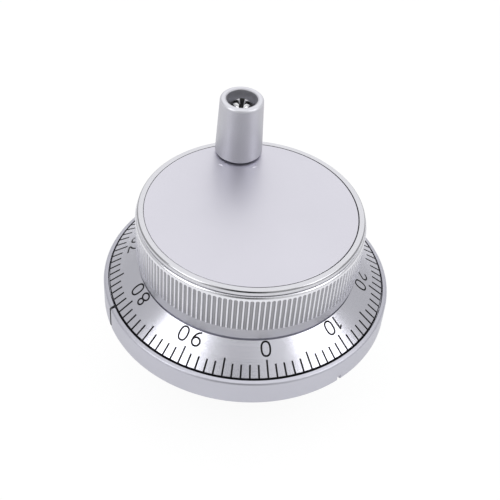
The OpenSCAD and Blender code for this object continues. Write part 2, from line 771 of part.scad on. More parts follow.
// Flanged shaft with a tapped pattern in its flange and a thinner tail
module shaft() {
    color("lightsteelblue") difference() {
        rotate_extrude() polygon([
            [0, -tail_depth], [tail_d / 2 - 0.3, -tail_depth], [tail_d / 2, -tail_depth + 0.3],
            [tail_d / 2, -1.6], [shaft_d / 2, -1.6],
            [shaft_d / 2, rear_bearing_z - circlip_h],
            [shaft_d / 2 - clip_groove, rear_bearing_z - circlip_h],
            [shaft_d / 2 - clip_groove, rear_bearing_z], [shaft_d / 2, rear_bearing_z],
            [shaft_d / 2, hub_h], [inner_race_r - 0.2, hub_h], [inner_race_r - 0.2, flange_z],
            [flange_d / 2, flange_z], [flange_d / 2, knob_web_z],
            [shaft_d / 2, knob_web_z], [shaft_d / 2, pocket_z - 0.3], [0, pocket_z - 0.3]]);
        round_axis(flange_screw_count) translate([flange_screw_pcd / 2, 0, flange_z - 1])
            cylinder(d = m25[0] + 2 * screw_fit, h = flange_h + 2);
    }
}

module flange_screws() {
    screw_l = knob_web_h + flange_h;
    color("gainsboro") round_axis(flange_screw_count)
        translate([flange_screw_pcd / 2, 0, flange_z]) pan_screw(m25, screw_l);
}

module front_bearing_inner_ring() { color("lightsteelblue") bearing_inner_ring(front_bearing_z); }
module rear_bearing_inner_ring() { color("lightsteelblue") bearing_inner_ring(rear_bearing_z); }

module bearing_spacer() {
    spacer_z = rear_bearing_z + bearing_w;
    color("silver") translate([0, 0, spacer_z])
        ring(inner_race_r - 0.2, shaft_d / 2 + seat_fit, front_bearing_z - spacer_z);
}

module shaft_circlip() {
    color("dimgray") translate([0, 0, rear_bearing_z - circlip_h + 0.02])
        circlip(shaft_d / 2 + circlip_lip, shaft_d / 2 - clip_groove + 0.1, circlip_h - 0.04);
}

// Soft-iron ring whose teeth face those of the pole plates
module detent_rotor() {
    color("slategray") translate([0, 0, detent_z]) difference() {
        cylinder(r = rotor_r, h = detent_h, $fn = 180);
        translate([0, 0, -1]) linear_extrude(detent_h + 2)
            polygon(toothed(divisions, rotor_root_r, rotor_tip_r, 0.4, 0.4));
        round_axis(rotor_screw_count) translate([rotor_screw_r, 0, -1]) {
            cylinder(d = m2[0] + 2 * screw_fit, h = detent_h + 2);
        }
    }
}

module rotor_screws() {
    screw_l = detent_h + 3.5;
    color("gainsboro") round_axis(rotor_screw_count)
        translate([rotor_screw_r, 0, detent_z + screw_l]) rotate([180, 0, 0])
            pan_screw([m2[0], 3, 0.9], screw_l);
}

// Thin disc with one slot for each division
module code_disc() {
    color("dimgray") translate([0, 0, -disc_depth]) linear_extrude(disc_h) difference() {
        circle(d = disc_d, $fn = 180);
        circle(r = disc_bore_r, $fn = 64);
        round_axis(divisions) translate([track_r, 0])
            square([slot_l, track_r * PI / divisions], center = true);
    }
}

// Hub that carries the code disc: spigot, flange and boss in one piece
module disc_hub() {
    boss_r = hub_bore_r + disc_hub_wall;
    color("silver") translate([0, 0, -disc_depth]) difference() {
        union() {
            cylinder(r = disc_bore_r - seat_fit, h = disc_h + 0.1);
            translate([0, 0, disc_h]) cylinder(r = hub_bore_r + disc_flange_w, h = disc_flange_h);
            translate([0, 0, disc_h + disc_flange_h - 0.1]) cylinder(r = boss_r, h = disc_hub_h + 0.1);
        }
        translate([0, 0, -1]) cylinder(r = hub_bore_r, h = disc_h + disc_flange_h + disc_hub_h + 2);
        round_axis(2, 45) translate([0, 0, disc_set_z + disc_depth]) rotate([0, 90, 0])
            cylinder(d = disc_screw_d + 2 * screw_fit, h = boss_r + 1);
    }
}

module disc_clamp() {
    color("silver") translate([0, 0, -disc_depth - disc_flange_h])
        ring(hub_bore_r + disc_flange_w - 0.5, hub_bore_r, disc_flange_h);
}

module disc_set_screws() {
    color("dimgray") round_axis(2, 45) translate([tail_d / 2 + 0.02, 0, disc_set_z])
        rotate([0, 90, 0]) cylinder(d = disc_screw_d, h = disc_screw_l);
}

// ---- Grip ----

// Flanged sleeve, clamped to the wheel by the grip screw
module grip_sleeve() {
    color("gainsboro") at_grip() difference() {
        union() {
            translate([0, 0, knob_top_z]) cylinder(d = sleeve_flange_d, h = grip_lift);
            translate([0, 0, knob_top_z]) cylinder(d = sleeve_d, h = sleeve_top_z - knob_top_z);
        }
        translate([0, 0, knob_top_z - past])
            cylinder(d = grip_screw_d + 2 * screw_fit, h = sleeve_top_z - knob_top_z + 2 * past);
    }
}

module grip_screw() {
    thread_z = knob_top_z - grip_screw_depth;
    color("gainsboro") at_grip() translate([0, 0, thread_z])
        pan_screw([grip_screw_d, grip_screw_head_d, grip_screw_head_h], sleeve_top_z - thread_z);
}

// Tapered grip with a rounded mouth over the screw's head
module grip() {
    mouth_r = grip_mouth_d / 2;
    top_r = grip_top_d / 2;
    lip = min(grip_lip, (top_r - mouth_r) / 2 - 0.02);
    color("silver") at_grip() rotate_extrude() polygon(concat(
        [[bush_r + seat_fit, grip_z], [grip_foot_d / 2 - grip_foot_chamfer, grip_z],
         [grip_foot_d / 2, grip_z + grip_foot_chamfer]],
        [for (a = [0 : 15 : 90])
            [top_r - lip + lip * cos(a), grip_top_z - lip + lip * sin(a)]],
        [for (a = [90 : 15 : 180])
            [mouth_r + lip + lip * cos(a), grip_top_z - lip + lip * sin(a)]],
        [[mouth_r, bush_top_z], [bush_r + seat_fit, bush_top_z]]));
}

module grip_bush() {
    color("tan") at_grip() translate([0, 0, grip_z])
        ring(bush_r, sleeve_d / 2 + running_fit, bush_top_z - grip_z);
}

module at_grip() {
    rotate(grip_angle) translate([grip_offset, 0, 0]) children();
}

module front_bearing_cage() { color("peru") bearing_cage(front_bearing_z); }
module front_bearing_balls() { color("white") bearing_balls(front_bearing_z); }
module rear_bearing_cage() { color("peru") bearing_cage(rear_bearing_z); }
module rear_bearing_balls() { color("white") bearing_balls(rear_bearing_z); }

bezel();
bearing_circlip();
front_bearing_outer_ring();
rear_bearing_outer_ring();
rear_pole_plate();
ring_magnet();
front_pole_plate();
detent_circlip();
encoder_board();
light_barrier();
signal_chips();
capacitors();
terminal_pins();
rear_cover();
cover_screws();
terminal_block();
terminal_plates();
terminal_screws();
knob();
dial();
dial_screws();
cover_plate();
shaft();
flange_screws();
front_bearing_inner_ring();
rear_bearing_inner_ring();
bearing_spacer();
shaft_circlip();
detent_rotor();
rotor_screws();
code_disc();
disc_hub();
disc_clamp();
disc_set_screws();
grip_sleeve();
grip_screw();
grip();
grip_bush();
front_bearing_cage();
front_bearing_balls();
rear_bearing_cage();
rear_bearing_balls();
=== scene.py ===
"""Visual model of a panel-mounted pulse generator handwheel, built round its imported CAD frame.

The row frame has its origin in the centre of the bezel's back face. +Z comes out of the panel
along the wheel's axis, and +Y points at the index mark. The file is laid out as an add-on and is
run as a script: main() registers it and calls its operators in order.
"""

import json
import math

import bmesh
import bpy
from bpy.props import FloatProperty, FloatVectorProperty, IntProperty, PointerProperty
from mathutils import Matrix, Vector


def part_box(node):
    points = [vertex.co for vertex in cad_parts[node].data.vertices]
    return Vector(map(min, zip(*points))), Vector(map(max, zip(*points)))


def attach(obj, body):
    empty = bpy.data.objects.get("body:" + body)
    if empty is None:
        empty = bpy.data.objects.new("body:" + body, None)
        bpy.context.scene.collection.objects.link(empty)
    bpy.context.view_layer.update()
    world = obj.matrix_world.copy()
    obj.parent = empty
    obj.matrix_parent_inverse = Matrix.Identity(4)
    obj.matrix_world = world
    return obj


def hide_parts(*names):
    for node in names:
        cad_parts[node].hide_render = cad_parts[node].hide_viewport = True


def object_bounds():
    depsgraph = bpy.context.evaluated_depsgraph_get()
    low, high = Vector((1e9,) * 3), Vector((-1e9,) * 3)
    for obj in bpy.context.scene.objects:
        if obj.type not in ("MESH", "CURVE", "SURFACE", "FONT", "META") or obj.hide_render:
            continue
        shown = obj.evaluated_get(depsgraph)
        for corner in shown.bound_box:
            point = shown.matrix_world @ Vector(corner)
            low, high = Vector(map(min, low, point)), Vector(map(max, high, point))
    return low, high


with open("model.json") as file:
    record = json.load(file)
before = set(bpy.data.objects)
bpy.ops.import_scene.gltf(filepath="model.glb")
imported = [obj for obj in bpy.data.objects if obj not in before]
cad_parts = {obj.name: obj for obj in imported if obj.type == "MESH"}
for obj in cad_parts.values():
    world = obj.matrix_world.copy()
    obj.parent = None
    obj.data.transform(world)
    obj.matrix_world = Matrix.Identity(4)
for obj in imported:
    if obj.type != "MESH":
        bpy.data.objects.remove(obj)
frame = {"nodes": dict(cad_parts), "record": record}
CAD_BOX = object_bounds()

bl_info = {
    "name": "Pulse generator handwheel",
    "version": (1, 0, 0),
    "blender": (4, 5, 0),
    "location": "3D View > Sidebar > Handwheel",
    "description": "Builds the handwheel's bezel, dial, knob, grip, rear parts and studio",
    "category": "Object",
}

MM = 0.001
FULL_TURN = 2 * math.pi
GRIP_LOW, GRIP_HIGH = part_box("grip")
GRIP_AXIS = (GRIP_LOW + GRIP_HIGH) / 2
CAD_HEAD_HEIGHT = 2.4 * MM
HEAD_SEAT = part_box("grip_screw")[1].z - CAD_HEAD_HEIGHT
BEVEL_ANGLE = math.radians(35)
LAMP_HEIGHT = math.radians(45)
POST_ANGLES = [math.radians(degrees) for degrees in (30, 150, 270)]
POST_CIRCLE, FIXING_CIRCLE = 24 * MM, 36 * MM
DIAL_SCREW_ANGLES = [math.radians(45 + 90 * quarter) for quarter in range(4)]
DIAL_SCREW_CIRCLE = 26.85 * MM
FLANGE_SCREW_ANGLES = [math.radians(120 * third) for third in range(3)]
FLANGE_SCREW_CIRCLE = 6.3 * MM
MARK_ANGLES = [math.radians(degrees) for degrees in (122, 190)]
PLATE_SHIFT_ANGLE = math.radians(67)
ONE_SHARE = 0.54  # width of the digit 1 as a share of the others


def reach(node):
    """The farthest that a CAD node comes from the wheel's axis."""
    return max(vertex.co.xy.length for vertex in frame["nodes"][node].data.vertices)


def length(name, description, default):
    """A size in metres that the sidebar shows as a length."""
    return FloatProperty(name=name, description=description, default=default, unit="LENGTH", precision=5)


def turn(name, description, degrees):
    """An angle that the sidebar shows in degrees."""
    return FloatProperty(name=name, description=description, default=math.radians(degrees), subtype="ANGLE")


def colour(name, description, default):
    """A linear colour with its picker."""
    return FloatVectorProperty(name=name, description=description, default=default, subtype="COLOR",
                               size=3, min=0.0, max=1.0)


def share(name, description, default, top=1.0):
    """A plain number from nothing to top."""
    return FloatProperty(name=name, description=description, default=default, min=0.0, max=top)


class BezelSizes(bpy.types.PropertyGroup):
    """Sizes of the fixed bezel"""

    radius: length("Radius", "Outer radius of the bezel", reach("bezel"))
    band_inner: length("Band inner radius", "Inner radius of the raised band round the dial", 38.65 * MM)
    index_width: length("Index width", "Width of the index groove at the surface", 1.2 * MM)
    index_depth: length("Index depth", "Depth of the index groove in the side", 0.6 * MM)
    index_angle: turn("Index angle", "Where the index mark stands round the bezel", 90)
    notch_angle: turn("Notch angle", "Where the small notch stands in the back edge", 196)


class DialSizes(bpy.types.PropertyGroup):
    """Sizes of the graduated cone and its marks"""

    radius: length("Radius", "Outer radius of the dial", reach("dial"))
    edge_z: length("Edge height", "Where the cone starts above the dial's side", 8.0 * MM)
    top_z: length("Top height", "Height of the cone's upper edge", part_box("dial")[1].z)
    lean: turn("Cone angle", "Slope of the cone from the horizontal", 35)
    divisions: IntProperty(name="Divisions", description="Lines round the dial", default=100, min=10)
    zero_angle: turn("Zero angle", "Where the line for 0 stands at rest", 165.6)
    long_inner: length("Long line end", "Radius at which the long lines end", 34.4 * MM)
    short_inner: length("Short line end", "Radius at which the short lines end", 35.4 * MM)
    line_width: length("Line width", "Width of a painted line", 0.48 * MM)
    ring_inner: length("Ring inner radius", "Inner radius of the painted ring at the edge", 38.2 * MM)
    paint: length("Paint height", "How far the paint stands proud of the metal", 0.02 * MM)
    number_radius: length("Number radius", "Radius of the middle of the numbers", 32.1 * MM)
    number_height: length("Number height", "Height of a digit between its strokes' middles", 3.75 * MM)
    number_advance: length("Number advance", "Distance between two digits of a number", 3.9 * MM)
    stroke: length("Stroke", "Width of a digit's stroke", 0.5 * MM)


class KnobSizes(bpy.types.PropertyGroup):
    """Sizes of the knurled knob and its cover"""

    radius: length("Radius", "Radius over the ribs", reach("knob"))
    ribs: IntProperty(name="Ribs", description="Ribs round the knurled band", default=144, min=24)
    groove_depth: length("Groove depth", "Depth of the grooves between the ribs", 0.5 * MM)
    crest_share: share("Crest share", "Share of the pitch that a rib's crest takes", 0.3)
    band_low: length("Band low end", "Height of the knurled band's lower end", 17.85 * MM)
    band_high: length("Band high end", "Height of the knurled band's upper end", 30.0 * MM)
    chamfer: length("Band chamfer", "Chamfer at the ends of the band", 0.45 * MM)
    land: length("Land", "Plain land between the chamfer and the grooves' ends", 0.6 * MM)
    rim_radius: length("Rim radius", "Radius of the plain rim over the band", 30.5 * MM)
    rim_chamfer: length("Rim chamfer", "Chamfer on the rim", 0.35 * MM)
    rim_top: length("Rim top", "Height at which the rim's chamfer starts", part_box("knob")[1].z - 0.35 * MM)
    relief_depth: length("Relief depth", "Depth of the turned relief at the rim's foot", 0.25 * MM)
    relief_height: length("Relief height", "Height of the relief", 0.4 * MM)
    seam: length("Seam", "Gap between the rim and the cover plate", 0.18 * MM)
    split: length("Split", "Radius at which the ribbed outside meets the plain inside", 28.0 * MM)
    boss_radius: length("Boss radius", "Radius of the boss under the grip", 4.6 * MM)
    cover_radius: length("Cover radius", "Radius of the cover plate", reach("cover_plate"))
    cover_round: length("Cover rounding", "Rounding of the cover plate's upper edge", 0.12 * MM)
    plate_shift: length("Plate shift", "How far the plate sits off the middle of its recess", 0.09 * MM)
    mark_radius: length("Mark radius", "Distance of the two pressed marks from the grip's axis", 8.4 * MM)
    mark_length: length("Mark length", "Length of a pressed mark", 1.8 * MM)
    mark_width: length("Mark width", "Width of a pressed mark", 0.7 * MM)
    mark_depth: length("Mark depth", "Depth of a pressed mark", 0.24 * MM)


class GripSizes(bpy.types.PropertyGroup):
    """Sizes of the turning grip and its screw"""

    foot_radius: length("Foot radius", "Radius at the grip's foot", (GRIP_HIGH.x - GRIP_LOW.x) / 2)
    top_radius: length("Top radius", "Radius at the grip's top", 6.05 * MM)
    lip: length("Lip rounding", "Rounding of the grip's upper edge", 0.7 * MM)
    foot_chamfer: length("Foot chamfer", "Chamfer round the foot", 0.4 * MM)
    mouth_radius: length("Mouth radius", "Radius of the counterbore for the screw head", 4.3 * MM)
    mouth_depth: length("Mouth depth", "Depth of the counterbore", 5.2 * MM)
    bore_radius: length("Bore radius", "Radius of the bore for the bush", 3.93 * MM)
    head_radius: length("Head radius", "Radius of the screw's head", 4.0 * MM)
    head_height: length("Head height", "Height of the screw's head", 3.7 * MM)
    recess_reach: length("Recess reach", "How far the cross reaches from the axis", 3.0 * MM)
    recess_width: length("Recess width", "Width of the cross's arms", 1.5 * MM)
    recess_depth: length("Recess depth", "Depth of the cross", 1.9 * MM)
    recess_turn: turn("Recess turn", "How the cross stands", 62)


class FinishColours(bpy.types.PropertyGroup):
    """Linear colours of the finishes"""

    bezel: colour("Bezel", "Satin anodised aluminium", (0.62, 0.62, 0.69))
    dial: colour("Dial", "Turned aluminium", (0.72, 0.72, 0.79))
    knob: colour("Knob", "Bright knurled aluminium", (0.74, 0.74, 0.78))
    cover: colour("Cover", "Fine satin aluminium", (0.73, 0.72, 0.79))
    grip: colour("Grip", "Bead-blasted aluminium", (0.60, 0.60, 0.64))
    steel: colour("Steel", "Bright zinc-plated steel", (0.78, 0.78, 0.80))
    ground: colour("Ground steel", "Ground bearing steel", (0.66, 0.67, 0.70))
    dark_steel: colour("Dark steel", "Phosphated spring steel", (0.16, 0.16, 0.18))
    iron: colour("Iron", "Stamped soft iron", (0.36, 0.37, 0.40))
    ferrite: colour("Ferrite", "Sintered magnet", (0.15, 0.15, 0.16))
    moulding: colour("Moulding", "Black moulded plastic", (0.06, 0.06, 0.065))
    board: colour("Board", "Solder mask on the encoder board", (0.05, 0.25, 0.13))
    chip: colour("Chip", "Moulded chip plastic", (0.05, 0.05, 0.06))
    brass: colour("Tinned brass", "Terminal plates and pins", (0.74, 0.66, 0.42))
    bush: colour("Bush", "Machined bush plastic", (0.80, 0.76, 0.64))
    cage: colour("Cage", "Moulded bearing cage", (0.45, 0.30, 0.16))
    # Near-black colour given to the walls of the index groove.
    index: colour("Index", "Worn dark paint of the index groove", (0.05, 0.05, 0.055))
    recess: colour("Recess", "Dark oil and shadow in the screw's cross", (0.012, 0.012, 0.013))
    paint: colour("Paint", "Black paint of the lines and numbers", (0.008, 0.008, 0.010))
    floor: colour("Floor", "Pale studio floor", (0.92, 0.92, 0.92))


class StudioValues(bpy.types.PropertyGroup):
    """Camera, lamps and surroundings"""

    aim: FloatVectorProperty(name="Aim", description="Point that the camera looks at", size=3,
                             default=(-0.112 * MM, -0.444 * MM, 16.79 * MM), subtype="XYZ", unit="LENGTH")
    distance: length("Distance", "From the aim to the camera", 274.45 * MM)
    azimuth: turn("Azimuth", "Where the camera stands, 0 looking along +Y", 243.4596)
    elevation: turn("Elevation", "Height of the camera over the horizon", 43.5734)
    roll: turn("Roll", "Turn of the camera about its own axis", 5.0775)
    lens: share("Lens", "Focal length in millimetres on a 36 mm sensor", 71.364, 200.0)
    lamp_distance: length("Lamp distance", "From the knob to the lamps", 0.7)
    lamp_size: length("Lamp size", "Side of the square lamps", 0.36)
    lamp_power: share("Lamp power", "Power of each lamp in watts", 0.78, 10.0)
    sky: share("Sky", "Light of the surroundings opposite the camera", 1.0, 4.0)
    overhead: share("Overhead", "Light of the surroundings all round", 0.56, 4.0)
    top: share("Top", "Extra light of the surroundings high over the camera", 0.5, 4.0)
    dark: share("Dark", "Light of the surroundings behind the camera", 0.02, 4.0)


class HandwheelSettings(bpy.types.PropertyGroup):
    """All that a user may change"""

    bezel: PointerProperty(type=BezelSizes)
    dial: PointerProperty(type=DialSizes)
    knob: PointerProperty(type=KnobSizes)
    grip: PointerProperty(type=GripSizes)
    colours: PointerProperty(type=FinishColours)
    studio: PointerProperty(type=StudioValues)


# ---- modelling helpers ----


def deselect():
    """Leaves edit mode and selects nothing."""
    if bpy.context.object and bpy.context.object.mode != "OBJECT":
        bpy.ops.object.mode_set(mode="OBJECT")
    bpy.ops.object.select_all(action="DESELECT")


def pick(*objects):
    """Selects these objects and makes the first one active."""
    deselect()
    for obj in objects:
        obj.hide_set(False)
        obj.select_set(True)
    bpy.context.view_layer.objects.active = objects[0]


def choose(test, kind="verts"):
    """In edit mode, selects only the vertices, edges or faces that pass the test."""
    obj = bpy.context.object
    bpy.ops.mesh.select_mode(type={"verts": "VERT", "edges": "EDGE", "faces": "FACE"}[kind])
    bpy.ops.mesh.select_all(action="DESELECT")
    mesh = bmesh.from_edit_mesh(obj.data)
    for item in getattr(mesh, kind):
        if test(item):
            item.select_set(True)
    mesh.select_flush_mode()
    bmesh.update_edit_mesh(obj.data)


def edit(obj):
    """Opens an object in edit mode with all of it selected."""
    pick(obj)
    bpy.ops.object.mode_set(mode="EDIT")
    bpy.ops.mesh.select_all(action="SELECT")


def repeat(obj, copies, pitch):
    """Repeats an object's mesh about the wheel's axis and stays in edit mode."""
    edit(obj)
    bpy.ops.mesh.spin(steps=copies, angle=copies * pitch, dupli=True, center=(0, 0, 0), axis=(0, 0, 1))
    bpy.ops.mesh.select_all(action="SELECT")


def paint_faces(obj, slot, test):
    """Gives the faces that pass the test a second finish."""
    obj.data.materials.append(FINISHES[slot])
    edit(obj)
    choose(test, "faces")
    obj.active_material_index = 1
    bpy.ops.object.material_slot_assign()
    bpy.ops.object.mode_set(mode="OBJECT")


def draw(name, points, closed=True):
    """Draws a chain of edges through the points and stays in edit mode with all of it selected."""
    deselect()
    bpy.ops.mesh.primitive_plane_add(size=MM)
    obj = bpy.context.object
    obj.name = obj.data.name = name
    bpy.ops.object.mode_set(mode="EDIT")
    bpy.ops.mesh.select_mode(type="VERT")
    bpy.ops.mesh.select_all(action="SELECT")
    bpy.ops.mesh.merge(type="CENTER")
    bpy.ops.transform.translate(value=points[0])
    for start, end in zip(points, points[1:]):
        step = Vector(end) - Vector(start)
        bpy.ops.mesh.extrude_vertices_move(TRANSFORM_OT_translate={"value": step})
    if closed:
        ends = (Vector(points[0]), Vector(points[-1]))
        choose(lambda v: min((v.co - end).length for end in ends) < 1e-8)
        bpy.ops.mesh.edge_face_add()
    bpy.ops.mesh.select_all(action="SELECT")
    return obj


def soften(corners, segments):
    """In edit mode, rounds the drawn chain at its corners: {radius: [points]}."""
    for radius, places in corners.items():
        choose(lambda v: min((v.co - Vector(place)).length for place in places) < 1e-7)
        bpy.ops.mesh.bevel(offset=radius, offset_type="OFFSET", segments=segments, affect="VERTICES")
    bpy.ops.mesh.select_all(action="SELECT")


def close_up():
    """In edit mode, merges doubles, turns the faces outwards and returns to object mode."""
    bpy.ops.mesh.select_all(action="SELECT")
    bpy.ops.mesh.remove_doubles(threshold=1e-7)
    bpy.ops.mesh.normals_make_consistent(inside=False)
    bpy.ops.object.mode_set(mode="OBJECT")


def outline(name, profile, points, segments):
    """Draws a closed profile of (radius, height[, rounding]) at its points and rounds its corners."""
    obj = draw(name, points)
    corners = {}
    for p, place in zip(profile, points):
        if len(p) > 2:
            corners.setdefault(p[2] * MM, []).append(place)
    if corners:
        soften(corners, segments)
    return obj


def revolve(name, profile, steps=240, axis_at=(0.0, 0.0), segments=4):
    """Spins a profile in millimetres about an upright axis."""
    points = [(axis_at[0] + p[0] * MM, axis_at[1], p[1] * MM) for p in profile]
    obj = outline(name, profile, points, segments)
    bpy.ops.mesh.spin(steps=steps, angle=FULL_TURN, center=(*axis_at, 0.0), axis=(0, 0, 1))
    close_up()
    return obj


def prism(name, points, push):
    """Fills a closed outline and pushes it out into a solid."""
    obj = draw(name, points)
    bpy.ops.mesh.edge_face_add()
    bpy.ops.mesh.extrude_region_move(TRANSFORM_OT_translate={"value": push})
    close_up()
    return obj


def rod(radius, low, high, at=(0.0, 0.0), sides=64, top_radius=None):
    """A round tool between two heights in metres, straight or tapering."""
    deselect()
    bpy.ops.mesh.primitive_cone_add(vertices=sides, radius1=radius, depth=high - low,
                                    radius2=radius if top_radius is None else top_radius,
                                    location=(*at, (low + high) / 2))
    return bpy.context.object


def join(objects, name=None):
    """Makes one object of several."""
    pick(*objects)
    bpy.ops.object.transform_apply(location=True, rotation=True, scale=True)
    bpy.ops.object.join()
    obj = bpy.context.object
    if name:
        obj.name = obj.data.name = name
    return obj


def combine(target, tools, operation="DIFFERENCE"):
    """Cuts the tools out of the target, or joins them to it as one solid."""
    tool = join(tools)
    pick(target)
    modifier = target.modifiers.new("combine", "BOOLEAN")
    modifier.operation = operation
    modifier.solver = "EXACT"
    modifier.use_self = len(tools) > 1
    modifier.object = tool
    bpy.ops.object.modifier_apply(modifier=modifier.name)
    bpy.data.objects.remove(tool, do_unlink=True)
    return target


def round_edges(obj, width):
    """Bevels the edges that turn by more than BEVEL_ANGLE."""
    pick(obj)
    modifier = obj.modifiers.new("round", "BEVEL")
    modifier.width = width
    modifier.segments = 2
    modifier.limit_method = "ANGLE"
    modifier.angle_limit = BEVEL_ANGLE
    bpy.ops.object.modifier_apply(modifier=modifier.name)


def about(angle, radius, height=0.0):
    """A point at an angle, radius and height about the wheel's axis."""
    return Vector((radius * math.cos(angle), radius * math.sin(angle), height))


def finish_piece(obj, body, slot, node=None, finish=None, smooth=30):
    """Smooths a piece's shading, gives it its body and the slot's finish or another, and hides the CAD node it
    stands in for.
    """
    pick(obj)
    bpy.ops.object.transform_apply(location=True, rotation=True, scale=True)
    bpy.ops.object.shade_smooth_by_angle(angle=math.radians(smooth))
    modifier = obj.modifiers.new("even", "WEIGHTED_NORMAL")
    modifier.keep_sharp = True
    modifier.weight = 90
    bpy.ops.object.modifier_apply(modifier=modifier.name)
    obj.data.materials.clear()
    obj.data.materials.append(FINISHES[finish or slot])
    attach(obj, body)
    if node:
        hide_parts(node)


def copied_node(node, name, edge):
    """A clean copy of a CAD node's mesh with its sharp edges rounded."""
    source = frame["nodes"][node]
    pick(source)
    bpy.ops.object.duplicate(linked=False)
    obj = bpy.context.object
    obj.name = obj.data.name = name
    obj.parent = None
    obj.matrix_world = Matrix.Identity(4)
    bpy.ops.object.mode_set(mode="EDIT")
    bpy.ops.mesh.select_all(action="SELECT")
    bpy.ops.mesh.remove_doubles(threshold=1e-7)
    bpy.ops.mesh.dissolve_limited(angle_limit=math.radians(1.0))
    bpy.ops.object.mode_set(mode="OBJECT")
    round_edges(obj, edge)
    return obj


# ---- finishes ----


class Value:
    """A number socket that takes part in Python arithmetic; each operation adds its Math node."""

    def __init__(self, nodes, socket):
        self.nodes = nodes
        self.socket = socket

    def work(self, operation, *others):
        node = self.nodes.add("ShaderNodeMath", {"operation": operation}, dict(enumerate(others)))
        return Value(self.nodes, node.outputs[0])

    def __add__(self, other):
        return self.work("ADD", self, other)

    __radd__ = __add__

    def __mul__(self, other):
        return self.work("MULTIPLY", self, other)

    __rmul__ = __mul__

    def __sub__(self, other):
        return self.work("SUBTRACT", self, other)

    def __rsub__(self, other):
        return self.work("SUBTRACT", other, self)

    def __truediv__(self, other):
        return self.work("DIVIDE", self, other)

    def ramp(self, low, high, to_low=0.0, to_high=1.0):
        """Goes smoothly from to_low to to_high while the value goes from low to high."""
        node = self.nodes.add("ShaderNodeMapRange", {"interpolation_type": "SMOOTHSTEP"},
                              {"Value": self, "From Min": low, "From Max": high,
                               "To Min": to_low, "To Max": to_high})
        return Value(self.nodes, node.outputs[0])


class Nodes:
    """Adds nodes to an emptied node tree."""

    def __init__(self, owner):
        owner.use_nodes = True
        self.tree = owner.node_tree
        self.tree.nodes.clear()

    def add(self, kind, settings=None, inputs=None):
        """Adds any node: its settings first, then the values or links of its sockets."""
        node = self.tree.nodes.new(kind)
        for key, value in (settings or {}).items():
            setattr(node, key, value)
        for key, value in (inputs or {}).items():
            socket = node.inputs[key]
            if isinstance(value, Value):
                self.tree.links.new(value.socket, socket)
            elif isinstance(value, bpy.types.NodeSocket):
                self.tree.links.new(value, socket)
            else:
                socket.default_value = value
        return node

    def number(self, operation, *inputs):
        """Vector maths that gives a number."""
        node = self.add("ShaderNodeVectorMath", {"operation": operation}, dict(enumerate(inputs)))
        return Value(self, node.outputs["Value"])


class Finish(Nodes):
    """Builds one procedural material round a Principled shader."""

    def __init__(self, name, base, roughness, metallic=1.0, **constants):
        self.material = bpy.data.materials.new(name)
        super().__init__(self.material)
        self.shader = self.add("ShaderNodeBsdfPrincipled", {},
                               {"Base Color": (*base, 1.0), "Roughness": roughness, "Metallic": metallic,
                                **constants})
        self.output = self.add("ShaderNodeOutputMaterial", {}, {"Surface": self.shader.outputs[0]})
        self.place = self.add("ShaderNodeTexCoord").outputs["Object"]
        self.base = base

    def vector(self, operation, *inputs, scale=None):
        """Vector maths; gives the vector socket."""
        node = self.add("ShaderNodeVectorMath", {"operation": operation}, dict(enumerate(inputs)))
        if scale is not None:
            self.tree.links.new(scale.socket, node.inputs["Scale"])
        return node.outputs["Vector"]

    def grain(self, size, detail=2.0, stretch=(1.0, 1.0, 1.0), shift=0.0):
        """Noise whose grain has a size in metres; from 0 to 1 about a middle of a half."""
        spot = self.add("ShaderNodeMapping", {}, {"Vector": self.place, "Scale": stretch,
                                                  "Location": (shift, shift, shift)}).outputs[0]
        node = self.add("ShaderNodeTexNoise", {}, {"Vector": spot, "Scale": 1.0 / size, "Detail": detail})
        return Value(self, node.outputs[0])

    def tint(self, amount, first, last):
        """Mixes the base colour from a first share of itself to a last one as the amount grows."""
        node = self.add("ShaderNodeMix", {"data_type": "RGBA"}, {0: amount})
        for key, level in (("A_Color", first), ("B_Color", last)):
            socket = next(s for s in node.inputs if s.identifier == key)
            socket.default_value = (*(min(1.0, level * part) for part in self.base), 1.0)
        out = next(s for s in node.outputs if s.identifier == "Result_Color")
        self.tree.links.new(out, self.shader.inputs["Base Color"])

    def rough(self, value):
        """Lets the roughness vary."""
        self.tree.links.new(value.socket, self.shader.inputs["Roughness"])

    def bump(self, height, distance, strength):
        """A bump whose full height is a distance in metres."""
        node = self.add("ShaderNodeBump", {}, {"Height": height, "Distance": distance, "Strength": strength})
        self.tree.links.new(node.outputs[0], self.shader.inputs["Normal"])

    def height(self):
        """Height of the point in metres."""
        return self.number("DOT_PRODUCT", self.place, (0.0, 0.0, 1.0))

    def turned(self, lean, pitch, depth):
        """Fine circular tool marks about the wheel's axis: the normal leans to and fro across them."""
        level = self.vector("MULTIPLY", self.place, (1.0, 1.0, 0.0))
        outward = self.vector("NORMALIZE", level)
        along = self.number("LENGTH", level) * math.cos(lean) - self.height() * math.sin(lean)
        wave = self.add("ShaderNodeTexNoise", {"noise_dimensions": "1D"},
                        {"W": along / pitch, "Scale": 1.0, "Detail": 3.0, "Roughness": 0.7})
        slope = (Value(self, wave.outputs[0]) - 0.5) * (2.0 * depth)
        across = self.vector("MULTIPLY_ADD", outward, (math.cos(lean),) * 3, (0.0, 0.0, -math.sin(lean)))
        push = self.vector("SCALE", across, scale=slope)
        world = self.add("ShaderNodeVectorTransform",
                         {"vector_type": "VECTOR", "convert_from": "OBJECT", "convert_to": "WORLD"},
                         {"Vector": push}).outputs[0]
        plain = self.add("ShaderNodeNewGeometry").outputs["Normal"]
        marked = self.vector("NORMALIZE", self.vector("ADD", plain, world))
        self.tree.links.new(marked, self.shader.inputs["Normal"])
        return Value(self, wave.outputs[0])


